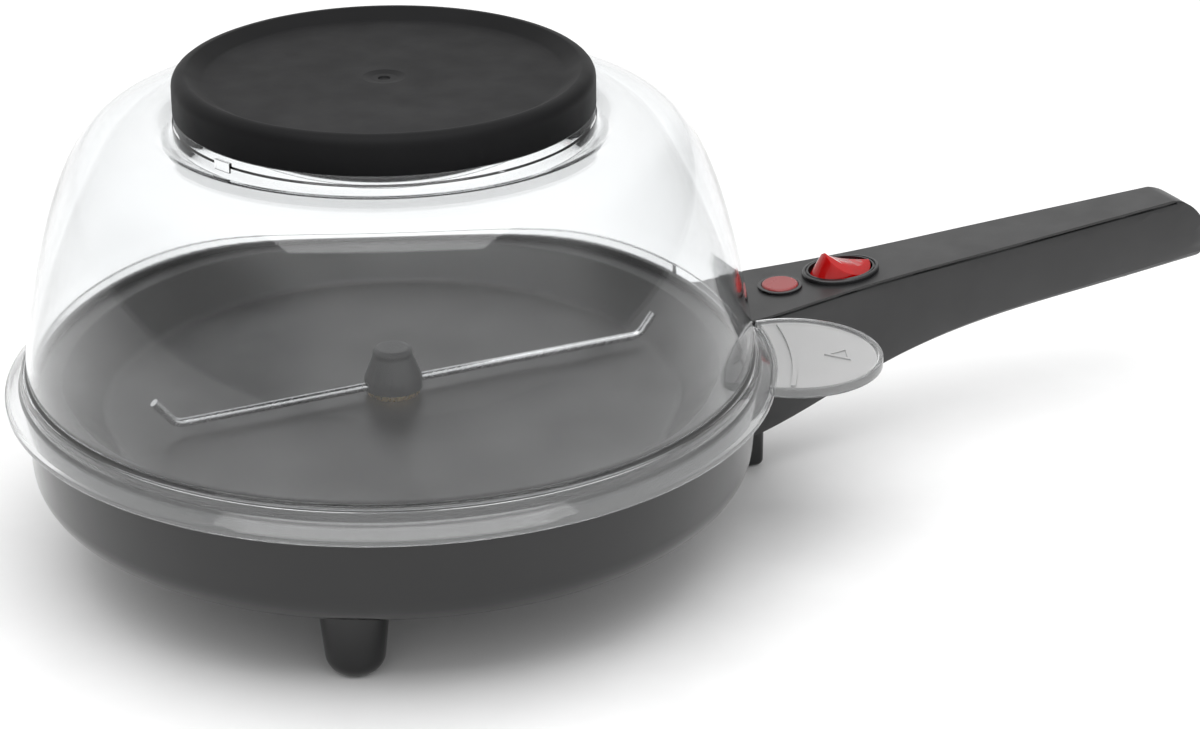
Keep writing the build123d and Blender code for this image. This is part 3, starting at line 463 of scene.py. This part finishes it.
def clear_plastic(s):
    """Clear moulded plastic: faint flow waves and wipe marks, the tab's deck is frosted, flange slightly."""
    mix = Recipe("clear_plastic")
    wipes = mix.noise(9.0, 5.0, vector=mix.stretched((1, 1, 0.35)))
    waves = mix.noise(16.0, 2.0)
    pale = tuple(min(1.0, c * 1.02) for c in s.tint)
    clear = mix.blend(mix.span(waves, 0, 1), tuple(s.tint), pale)
    turn = Matrix.Rotation(s.tab_angle, 3, "Z")
    tab_middle = AXIS + turn @ Vector((s.tab_centre, 0, 0))
    rim = (dome_high.y - dome_low.y) / 2
    deck = mix.span(mix.reach(tab_middle), 1, 0, s.tab_round - 2.6 * MM, s.tab_round - 2.2 * MM)
    outside = mix.span(mix.reach(AXIS), 0, 1, rim + 0.2 * MM, rim + 0.6 * MM)
    flange = mix.span(mix.reach(AXIS), 0, s.flange_frost, s.foot_radius + 1.0 * MM, s.foot_radius + 3.0 * MM)
    frost = mix.maths("MAXIMUM", mix.maths("MULTIPLY", deck, outside), flange)
    shade = mix.tree.nodes.new("ShaderNodeMix")
    shade.data_type = "RGBA"
    mix.link(frost, shade.inputs["Factor"])
    mix.link(clear, shade.inputs["A"])
    shade.inputs["B"].default_value = (*s.frost_tint, 1)
    rough = mix.tree.nodes.new("ShaderNodeMix")
    mix.link(frost, rough.inputs["Factor"])
    mix.link(mix.span(wipes, 0.012, 0.05), rough.inputs["A"])
    mix.link(mix.span(mix.noise(160.0, 2.0), 0.3, 0.36), rough.inputs["B"])
    mix.feed(Base_Color=shade.outputs["Result"], Roughness=rough.outputs["Result"],
             Normal=mix.bump(waves, 0.0004, 0.08),
             Transmission_Weight=mix.span(frost, 1.0, 1 - s.frost_share, 0, 1))
    mix.set(IOR=1.49)
    return mix.material


def coated_pan(colour):
    """Dark non-stick coating with fine pale flecks and turned marks."""
    mix = Recipe("coated_pan")
    flecks = mix.tree.nodes.new("ShaderNodeTexVoronoi")
    flecks.inputs["Scale"].default_value = 700.0
    mix.link(mix.coords, flecks.inputs["Vector"])
    speck = mix.span(flecks.outputs["Distance"], 1, 0, 0.06, 0.16)
    pale = tuple(min(1.0, c * 4.5) for c in colour)
    drift = mix.noise(30.0, 4.0)
    mix.feed(Base_Color=mix.blend(speck, tuple(colour), pale), Roughness=mix.span(drift, 0.3, 0.46),
             Normal=mix.bump(mix.noise(500.0, 3.0), 0.00004, 0.5))
    mix.set(Specular_IOR_Level=0.5)
    return mix.material


def red_rocker(colour):
    """Translucent red plastic of the rocker, glossy, lit through."""
    mix = Recipe("red_rocker")
    cloud = mix.span(mix.noise(90.0, 3.0), 0, 1)
    deep = tuple(c * 0.8 for c in colour)
    mix.feed(Base_Color=mix.blend(cloud, deep, tuple(colour)),
             Roughness=mix.span(mix.noise(200.0, 3.0), 0.1, 0.18),
             Normal=mix.bump(mix.noise(1200.0, 2.0), 0.00001, 0.4))
    mix.set(IOR=1.5, Subsurface_Weight=0.35, Subsurface_Scale=0.004, Subsurface_Radius=(1.0, 0.12, 0.08),
            Specular_IOR_Level=0.4)
    return mix.material


# ---------------------------------------------------------------- dome

def dome_outline(s):
    """Closed half section: wall, crest, dip, neck and stepped flange."""
    t = s.wall
    lean_out = Vector((-math.sin(s.lean), math.cos(s.lean))) * s.wall_pull
    foot = Vector((s.foot_radius + 0.3 * MM, s.wall_base))
    inner_foot = foot - Vector((t, 0))
    crest = Vector((s.shoulder_radius, s.shoulder_height))
    inner_crest = crest - Vector((0, t))
    reach = Vector((s.shoulder_pull, 0))
    outer = bend(foot, foot + lean_out, crest + reach, crest, 44)
    inner = bend(inner_crest, inner_crest + reach, inner_foot + lean_out - Vector((0, t)), inner_foot, 44)
    neck_out = s.neck_radius
    neck_top = lid_low.z
    spigot = s.spigot_radius
    neck_in = spigot - t
    top = dome_high.z
    dip = bend(crest, (crest.x - 5 * MM, crest.y), (neck_out + 2.2 * MM, s.neck_foot),
               (neck_out, s.neck_foot), 12)
    under = bend((neck_in, s.neck_foot - 1.6 * MM), (neck_out + 1 * MM, s.neck_foot - 1.9 * MM),
                 (crest.x - 4 * MM, inner_crest.y), inner_crest, 12)
    neck = rounded([
        (neck_out, s.neck_foot, 0),
        (neck_out, neck_top - 3.7 * MM, 0.3 * MM),
        (neck_out - 0.6 * MM, neck_top - 3.1 * MM, 0.2 * MM),
        (neck_out - 0.6 * MM, neck_top, 0.25 * MM),
        (spigot, neck_top, 0.2 * MM),
        (spigot, top - 0.6 * MM, 0.3 * MM),
        (spigot - 0.6 * MM, top, 0.2 * MM),
        (neck_in, top, 0.25 * MM),
        (neck_in, s.neck_foot - 1.6 * MM, 0),
    ], 3, closed=False)
    rim = (dome_high.y - dome_low.y) / 2
    low = dome_low.z
    flange = rounded([
        (inner_foot.x, inner_foot.y, 0),
        (s.foot_radius - t + 0.3 * MM, s.seat_height, 0.3 * MM),
        (s.foot_radius + 0.4 * MM, s.seat_height, 0.3 * MM),
        (s.foot_radius + 0.5 * MM, low + 5.3 * MM, 0.4 * MM),
        (rim - 6.0 * MM, low + 4.1 * MM, 0.8 * MM),
        (rim - 2.6 * MM, low + 1.2 * MM, 0.4 * MM),
        (rim - 1.9 * MM, low, 0.3 * MM),
        (rim, low, 0.5 * MM),
        (rim, low + 2.0 * MM, 0.7 * MM),
        (rim - 1.2 * MM, low + 3.0 * MM, 0.6 * MM),
        (s.foot_radius + 2.9 * MM, s.foot_height - 5.6 * MM, 1.0 * MM),
        (s.foot_radius + 2.3 * MM, s.foot_height - 0.8 * MM, 0.5 * MM),
        (s.foot_radius, s.foot_height, 0.8 * MM),
        (foot.x, foot.y, 0),
    ], 4, closed=False)
    return flange[:-1] + outer[:-1] + dip[:-1] + neck[:-1] + under[:-1] + inner[:-1]


def lift_tab(s):
    """Round tab with a raised rim, a curved rib and a raised triangle that points at the dome."""
    place = AXIS + Vector((s.tab_centre, 0, dome_low.z + 1.7 * MM))
    bm = bmesh.new()
    bmesh.ops.create_circle(bm, cap_ends=True, segments=128, radius=s.tab_round)
    grown = bmesh.ops.extrude_face_region(bm, geom=bm.faces[:])
    top = [v for v in grown["geom"] if isinstance(v, bmesh.types.BMVert)]
    bmesh.ops.translate(bm, vec=(0, 0, s.tab_thickness + s.tab_rim), verts=top)
    face = [f for f in bm.faces if len(f.verts) > 4 and f.calc_center_median().z > 0][0]
    bmesh.ops.inset_region(bm, faces=[face], thickness=2.0 * MM)
    bmesh.ops.inset_region(bm, faces=[face], thickness=0.5 * MM, depth=0.0)
    bmesh.ops.translate(bm, vec=(0, 0, -s.tab_rim), verts=face.verts[:])
    bmesh.ops.recalc_face_normals(bm, faces=bm.faces)
    rims = [e for e in bm.edges if e.calc_face_angle(0) > 0.6]
    bmesh.ops.bevel(bm, geom=rims, offset=0.35 * MM, affect="EDGES", segments=3, profile=0.5, material=-1)
    bmesh.ops.translate(bm, vec=place, verts=bm.verts)
    tab = object_from(bm, "tab_plate", 40)
    deck = place.z + s.tab_thickness
    rib_span = 0.39
    rib = ring_sector("tab_rib", s.tab_centre - 1.1 * MM, s.tab_centre + 0.7 * MM, deck - 0.3 * MM,
                      deck + 1.0 * MM, -rib_span / 2, rib_span, 24)
    combine(tab, rib, "UNION")
    mark_place = AXIS + Vector((s.tab_centre + 18 * MM, 0, deck - 0.2 * MM))
    mark = prism("tab_mark", 3, s.mark_radius, 0.75 * MM, mark_place, math.pi / 2)
    below = mark_place - Vector((0, 0, MM))
    hollow = prism("tab_mark_hollow", 3, s.mark_radius - 2.2 * MM, 3 * MM, below, math.pi / 2)
    combine(mark, hollow, "DIFFERENCE")
    combine(tab, mark, "UNION")
    about_axis = Matrix.Translation(AXIS) @ Matrix.Rotation(s.tab_angle, 4, "Z") @ Matrix.Translation(-AXIS)
    tab.data.transform(about_axis)
    return tab


class POPCORN_OT_dome(Operator):
    """Clear dome with its neck, flange, handle notch and lift tab"""
    bl_idname = "popcorn.dome"
    bl_label = "Dome"

    def execute(self, context):
        s = context.scene.popcorn_dome
        dome = turned("clear_dome", dome_outline(s))
        half_notch = math.asin(s.notch_half / (s.foot_radius + 4 * MM))
        notch = ring_sector("notch", s.foot_radius + 0.45 * MM, s.foot_radius + 24 * MM, dome_low.z - 5 * MM,
                            s.foot_height - 0.4 * MM, -half_notch, 2 * half_notch, 32)
        combine(dome, notch, "DIFFERENCE")
        for turn in (s.lug_angle, s.lug_angle + math.pi):
            lug = ring_sector("lug", s.neck_radius - 1.0 * MM, s.neck_radius + 0.75 * MM,
                              s.neck_foot + 2.6 * MM, s.neck_foot + 6.2 * MM,
                              turn - s.lug_span / 2, s.lug_span, 8)
            combine(dome, lug, "UNION")
        tab = lift_tab(s)
        reach = (dome_high.y - dome_low.y) / 2 - 1.3 * MM
        low = dome_low.z - 9 * MM
        high = dome_low.z + 40 * MM
        inside = turned("inside", [(MM, low), (reach, low), (reach, high), (MM, high)])
        combine(tab, inside, "DIFFERENCE")
        combine(dome, tab, "UNION")
        dome.data.shade_smooth()
        dome.data.set_sharp_from_angle(angle=math.radians(35))
        place_piece(dome, clear_plastic(s), "dome")
        return {"FINISHED"}


# ---------------------------------------------------------------- lid

def lid_outline(s):
    """Open half section from the middle of the top round to the middle of the underside."""
    radius = (lid_high.x - lid_low.x) / 2
    top = lid_high.z
    disc = top - s.recess_depth
    middle = disc - s.dish
    skirt = radius - s.wall
    dimple = s.dimple_radius
    return rounded([
        (0, middle - 1.1 * MM, 0),
        (2.0 * MM, middle - 1.1 * MM, 0.15 * MM),
        (2.4 * MM, middle - 0.55 * MM, 0.25 * MM),
        (dimple - 3.2 * MM, middle - 0.5 * MM, 1.6 * MM),
        (dimple, middle + 0.04 * MM, 2.0 * MM),
        (s.recess_radius, disc, 3.0 * MM),
        (s.crest_radius, top, 1.4 * MM),
        (radius, top, s.edge),
        (radius, lid_low.z, 0.4 * MM),
        (skirt, lid_low.z, 0.4 * MM),
        (skirt, top - 4.6 * MM, 0.6 * MM),
        (s.crest_radius - 1.6 * MM, top - 4.6 * MM, 0.6 * MM),
        (s.recess_radius, disc - s.wall, 1.2 * MM),
        (0, middle - s.wall, 0),
    ], 6, closed=False)


class POPCORN_OT_lid(Operator):
    """Black lid with a rounded rim, a sunk, slightly dished disc and a snap skirt"""
    bl_idname = "popcorn.lid"
    bl_label = "Lid"

    def execute(self, context):
        s = context.scene.popcorn_lid
        lid = turned("lid", lid_outline(s), closed=False, angle=50)
        black = moulded("satin_lid", tuple(s.colour), 0.5, spread=0.04, grain=1500.0,
                        Specular_IOR_Level=0.09)
        place_piece(lid, black, "dome_lid")
        return {"FINISHED"}


# ---------------------------------------------------------------- base

def base_outline(s):
    """Closed half section of the housing."""
    bottom = base_low.z
    low = s.radius - (s.step_height - bottom) * math.tan(s.lean)
    floor_top = bottom + s.wall
    shelf = s.ledge_radius - s.ledge_width
    lip = s.hatch_radius - s.hatch_lip
    return rounded([
        (s.hatch_radius, bottom, 0.5 * MM),
        (low, bottom, s.edge),
        (s.radius, s.step_height, 0.4 * MM),
        (s.radius, s.step_height + 0.8 * MM, 0.3 * MM),
        (s.rim_radius, s.step_height + 2.6 * MM, 0.4 * MM),
        (s.rim_radius, base_high.z, 0.4 * MM),
        (s.ledge_radius, base_high.z, 0.4 * MM),
        (s.ledge_radius, s.ledge_height, 0.3 * MM),
        (shelf, s.ledge_height, 0.4 * MM),
        (shelf, s.ledge_height - s.wall, 0.4 * MM),
        (s.radius - s.wall - 0.4 * MM, s.ledge_height - s.wall - 5.5 * MM, 1.0 * MM),
        (low - s.wall, floor_top, s.edge - s.wall),
        (s.hatch_radius + 1.5 * MM, floor_top, 0),
        (s.hatch_radius + 1.5 * MM, floor_top + 1.8 * MM, 0.4 * MM),
        (lip, floor_top + 1.8 * MM, 0.4 * MM),
        (lip, floor_top - 0.4 * MM, 0.4 * MM),
        (s.hatch_radius, floor_top - 0.4 * MM, 0.2 * MM),
    ], 8)


def foot_piece(middle, top):
    """Cone foot with a round nose and a screw well, turned about its own middle."""
    bm = bmesh.new()
    well = 3.6 * MM
    well_top = 12 * MM
    bore = 2.3 * MM
    nose = 10.2 * MM
    shoulder = 13.2 * MM
    corners = rounded([
        (well, well_top, 0),
        (well, 0, 0.6 * MM),
        (nose, 0, 7.5 * MM),
        (shoulder, top, 0.3 * MM),
        (bore, top, 0),
        (bore, well_top, 0),
    ], 8)
    verts = [bm.verts.new((middle.x + p[0], middle.y, p[1])) for p in corners]
    edges = [bm.edges.new(pair) for pair in zip(verts, verts[1:] + verts[:1])]
    bmesh.ops.spin(bm, geom=verts + edges, cent=middle, axis=(0, 0, 1), angle=FULL_TURN, steps=72,
                   use_merge=True)
    bmesh.ops.remove_doubles(bm, verts=bm.verts, dist=MERGE)
    bmesh.ops.recalc_face_normals(bm, faces=bm.faces)
    return bm


class POPCORN_OT_base(Operator):
    """Glossy black housing, its cone feet, the leg under the handle and the gland"""
    bl_idname = "popcorn.base"
    bl_label = "Base"

    def execute(self, context):
        s = context.scene.popcorn_base
        gloss = moulded("gloss_black", tuple(s.colour), 0.13, spread=0.03, grain=400.0, grain_depth=0.000006,
                        IOR=1.5, Coat_Weight=0.1, Coat_Roughness=0.06)
        shell = turned("base_shell", base_outline(s))
        place_piece(shell, gloss, "base_housing")
        low, high = (Vector(corner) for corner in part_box("feet"))
        inset = (high.x - low.x) / 2
        feet = bmesh.new()
        for y in (low.y + inset, high.y - inset):
            one = foot_piece(Vector((low.x + inset, y, 0)), high.z)
            keep = bpy.data.meshes.new("one_foot")
            one.to_mesh(keep)
            one.free()
            feet.from_mesh(keep)
            bpy.data.meshes.remove(keep)
        place_piece(object_from(feet, "cone_feet"), gloss, "feet")
        place_piece(fair_copy("handle_foot", "root_leg", angle=40), gloss, "handle_foot")
        rubber = moulded("soft_black_rubber", (0.02, 0.02, 0.021), 0.62, spread=0.06, grain=1100.0,
                         Specular_IOR_Level=0.35)
        place_piece(fair_copy("cord_gland", "lead_gland", angle=40, edge=0.3 * MM), rubber, "cord_gland")
        hatch = moulded("hatch_paint", (0.028, 0.028, 0.029), 0.45, spread=0.08, grain=1300.0,
                        grain_depth=0.00004)
        plate = fair_copy("bottom_plate", "vented_hatch", angle=30, edge=0.15 * MM)
        place_piece(plate, hatch, "bottom_plate")
        return {"FINISHED"}


# ---------------------------------------------------------------- pan, stirrer and works

def pan_outline(s):
    """Closed half section of the pan."""
    ledge = pan_high.z - s.sheet
    rim = (pan_high.x - pan_low.x) / 2
    floor_low = s.floor_height - s.sheet
    return rounded([
        (7.0 * MM, floor_low, 0),
        (s.floor_radius + 0.8 * MM, floor_low, 7.0 * MM),
        (s.wall_radius + 0.6 * MM, ledge, 0),
        (rim, ledge, 0.3 * MM),
        (rim, pan_high.z, 0.7 * MM),
        (s.wall_radius - 0.8 * MM, pan_high.z, 1.6 * MM),
        (s.floor_radius, s.floor_height, 6.0 * MM),
        (7.0 * MM, s.floor_height, 0),
    ], 8)


class POPCORN_OT_pan(Operator):
    """Coated pan with its bush, the stirrer and its shaft"""
    bl_idname = "popcorn.pan"
    bl_label = "Pan and stirrer"

    def execute(self, context):
        s = context.scene.popcorn_pan
        place_piece(turned("pan", pan_outline(s)), coated_pan(s.colour), "heating_pan")
        steel = metal("drawn_steel", (0.58, 0.58, 0.585), 0.24, stretch=(1, 6, 6))
        brass = metal("turned_brass", (0.62, 0.46, 0.22), 0.28)
        hub = moulded("hub_black", (0.024, 0.024, 0.025), 0.4, grain=1200.0)
        place_piece(fair_copy("shaft_bush", "pan_bush", edge=0.2 * MM), brass, "shaft_bush")
        place_piece(fair_copy("drive_shaft", "output_shaft", edge=0.15 * MM), steel, "drive_shaft")
        place_piece(fair_copy("stirrer_hub", "stirrer_boss", angle=30), hub, "stirrer_hub")
        place_piece(fair_copy("stirrer_arms", "stirrer_wires", angle=60), steel, "stirrer_arms")
        return {"FINISHED"}


class POPCORN_OT_works(Operator):
    """Motor, heater, shield, fasteners and wiring inside the base"""
    bl_idname = "popcorn.works"
    bl_label = "Works"

    def execute(self, context):
        steel = metal("plated_steel", (0.52, 0.52, 0.51), 0.3)
        sheath = metal("heater_sheath", (0.16, 0.15, 0.145), 0.45, tone=0.3)
        sheet = metal("bright_sheet", (0.74, 0.74, 0.75), 0.27, stretch=(1, 8, 1))
        can = metal("motor_can", (0.48, 0.48, 0.47), 0.36, tone=0.18)
        ceramic = moulded("fired_white", (0.74, 0.71, 0.65), 0.55, grain=600.0)
        nylon = moulded("terminal_nylon", (0.72, 0.70, 0.64), 0.5, Subsurface_Weight=0.1,
                        Subsurface_Scale=0.003)
        sleeve = moulded("wire_sleeve", (0.30, 0.055, 0.03), 0.48, grain=1500.0)
        finishes = {
            "hatch_screws": steel, "foot_screws": steel, "pan_screw": steel, "bush_nut": steel,
            "heating_element": sheath, "element_clamps": sheet, "heat_shield": sheet, "shield_posts": steel,
            "shield_screws": steel, "gear_motor": can, "motor_screws": steel, "thermostat": ceramic,
            "thermal_fuse": sheet, "terminal_block": nylon, "cover_screws": steel, "handle_screws": steel,
            "wires_handle": sleeve, "wires_heater": sleeve,
        }
        for node, finish in finishes.items():
            place_piece(fair_copy(node, node + "_fine", angle=36), finish, node)
        return {"FINISHED"}


# ---------------------------------------------------------------- handle

class POPCORN_OT_handle(Operator):
    """Handle covers, rocker switch and pilot lamp"""
    bl_idname = "popcorn.handle"
    bl_label = "Handle"

    def execute(self, context):
        s = context.scene.popcorn_handle
        satin = moulded("satin_handle", tuple(s.colour), 0.4, spread=0.05, grain=1600.0)
        trim = moulded("trim_black", (0.012, 0.012, 0.013), 0.24, spread=0.05, grain=1000.0)
        dark = moulded("switch_black", (0.02, 0.02, 0.021), 0.4)
        upper = fair_copy("handle_upper_cover", "handle_cover", angle=28, flat=0)
        place_piece(upper, satin, "handle_upper_cover")
        lower = fair_copy("handle_lower_cover", "handle_under", angle=28, flat=0)
        place_piece(lower, satin, "handle_lower_cover")
        place_piece(fair_copy("switch_bezel", "rocker_bezel", angle=30), trim, "switch_bezel")
        place_piece(fair_copy("switch_body", "switch_box", angle=30), dark, "switch_body")
        key = fair_copy("rocker", "rocker_key", angle=30, edge=0.35 * MM, segments=3)
        place_piece(key, red_rocker(s.rocker), "rocker")
        lens = moulded("lamp_lens_red", tuple(s.lamp), 0.3, spread=0.05, grain=1400.0,
                       Transmission_Weight=0.25, IOR=1.5)
        place_piece(fair_copy("lamp_lens", "pilot_lens", angle=40), lens, "lamp_lens")
        place_piece(fair_copy("lamp_bezel", "pilot_ring", angle=30, edge=0.15 * MM), trim, "lamp_bezel")
        glass = moulded("bulb_glass", (0.9, 0.8, 0.72), 0.08, Transmission_Weight=0.9, IOR=1.5)
        place_piece(fair_copy("lamp_bulb", "neon_bulb", angle=40), glass, "lamp_bulb")
        return {"FINISHED"}


# ---------------------------------------------------------------- stage

def soft_light(name, place, aim, size, power):
    """Large rectangular light turned towards a point."""
    lamp = bpy.data.lights.new(name, "AREA")
    lamp.shape = "RECTANGLE"
    lamp.size, lamp.size_y = size
    lamp.energy = power
    piece = bpy.data.objects.new(name, lamp)
    piece.matrix_world = facing(Vector(place), Vector(aim), 0.0)
    bpy.context.scene.collection.objects.link(piece)


def facing(place, aim, roll):
    """Matrix of something at place whose -Z looks at aim, level and then rolled."""
    turn = (aim - place).to_track_quat("-Z", "Y").to_matrix().to_4x4()
    return Matrix.Translation(place) @ turn @ Matrix.Rotation(roll, 4, "Z")


def studio_sky(overhead, backdrop, front, sides):
    """Soft surroundings: bright above and behind, dimmer in front and low down at the sides."""
    world = bpy.data.worlds.new("studio")
    world.use_nodes = True
    tree = world.node_tree
    tree.nodes["Background"].inputs["Color"].default_value = (1, 1, 1, 1)
    coords = tree.nodes.new("ShaderNodeTexCoord")
    axes = tree.nodes.new("ShaderNodeSeparateXYZ")
    tree.links.new(coords.outputs["Generated"], axes.inputs["Vector"])

    def ramp(value, start, end, first, last):
        """Soft ramp from first to last as value goes from start to end."""
        node = tree.nodes.new("ShaderNodeMapRange")
        node.interpolation_type = "SMOOTHSTEP"
        spans = {"From Min": start, "From Max": end, "To Min": first, "To Max": last}
        for key, number in spans.items():
            node.inputs[key].default_value = number
        tree.links.new(value, node.inputs["Value"])
        return node.outputs["Result"]

    depth = ramp(axes.outputs["Y"], -0.85, 0.35, front, backdrop)
    height = ramp(axes.outputs["Z"], 0.25, 0.95, 0.0, 1.0)
    width = tree.nodes.new("ShaderNodeMath")
    width.operation = "ABSOLUTE"
    tree.links.new(axes.outputs["X"], width.inputs[0])
    dim = ramp(width.outputs["Value"], 0.6, 0.95, 1.0, sides)
    around = tree.nodes.new("ShaderNodeMath")
    around.operation = "MULTIPLY"
    tree.links.new(depth, around.inputs[0])
    tree.links.new(dim, around.inputs[1])
    blend = tree.nodes.new("ShaderNodeMix")
    tree.links.new(height, blend.inputs["Factor"])
    tree.links.new(around.outputs["Value"], blend.inputs["A"])
    blend.inputs["B"].default_value = overhead
    tree.links.new(blend.outputs["Result"], tree.nodes["Background"].inputs["Strength"])
    return world


class POPCORN_OT_stage(Operator):
    """Pale floor, soft studio lights and the camera"""
    bl_idname = "popcorn.stage"
    bl_label = "Stage"

    def execute(self, context):
        s = context.scene.popcorn_stage
        bm = bmesh.new()
        bmesh.ops.create_circle(bm, cap_ends=True, segments=64, radius=s.floor_size)
        floor = object_from(bm, "floor")
        pale = Recipe("pale_floor")
        paper = pale.noise(40.0, 4.0)
        colour = tuple(s.floor_colour)
        pale.feed(Base_Color=pale.blend(pale.span(paper, 0, 1), colour, tuple(c * 1.02 for c in colour)),
                  Roughness=pale.span(paper, 0.5, 0.6))
        pale.set(Specular_IOR_Level=0.3)
        floor.data.materials.append(pale.material)

        camera_data = bpy.data.cameras.new("camera")
        camera_data.lens = s.lens
        camera_data.sensor_width = 36.0
        camera_data.clip_end = 50.0
        camera = bpy.data.objects.new("camera", camera_data)
        camera.matrix_world = facing(Vector(s.place), Vector(s.aim), s.roll)
        context.scene.collection.objects.link(camera)
        context.scene.camera = camera

        context.scene.world = studio_sky(s.overhead, s.backdrop, s.front, s.sides)
        context.scene.view_settings.view_transform = "Standard"
        middle = (AXIS.x, AXIS.y, 90 * MM)
        soft_light("top_box", s.box_place, middle, (2.6, 2.2), s.top_power)
        return {"FINISHED"}


# ---------------------------------------------------------------- add-on

SETTINGS = {
    "popcorn_dome": DomeSettings,
    "popcorn_lid": LidSettings,
    "popcorn_base": BaseSettings,
    "popcorn_pan": PanSettings,
    "popcorn_handle": HandleSettings,
    "popcorn_stage": StageSettings,
}
OPERATORS = (
    POPCORN_OT_stage,
    POPCORN_OT_base,
    POPCORN_OT_pan,
    POPCORN_OT_works,
    POPCORN_OT_handle,
    POPCORN_OT_dome,
    POPCORN_OT_lid,
)


class POPCORN_PT_panel(Panel):
    """Lists the pieces of the popcorn maker"""
    bl_idname = "POPCORN_PT_panel"
    bl_label = "Popcorn Maker"
    bl_space_type = "VIEW_3D"
    bl_region_type = "UI"
    bl_category = "Popcorn Maker"

    def draw(self, context):
        for operator in OPERATORS:
            self.layout.operator(operator.bl_idname)
        for name, group in SETTINGS.items():
            box = self.layout.box()
            for key in group.__annotations__:
                box.prop(getattr(context.scene, name), key)


CLASSES = tuple(SETTINGS.values()) + OPERATORS + (POPCORN_PT_panel,)


def register():
    for cls in CLASSES:
        bpy.utils.register_class(cls)
    for name, group in SETTINGS.items():
        setattr(bpy.types.Scene, name, PointerProperty(type=group))


def unregister():
    for name in SETTINGS:
        delattr(bpy.types.Scene, name)
    for cls in reversed(CLASSES):
        bpy.utils.unregister_class(cls)


def main():
    """Registers the add-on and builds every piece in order."""
    register()
    for operator in OPERATORS:
        group, action = operator.bl_idname.split(".")
        getattr(getattr(bpy.ops, group), action)()


if __name__ == "__main__":
    main()
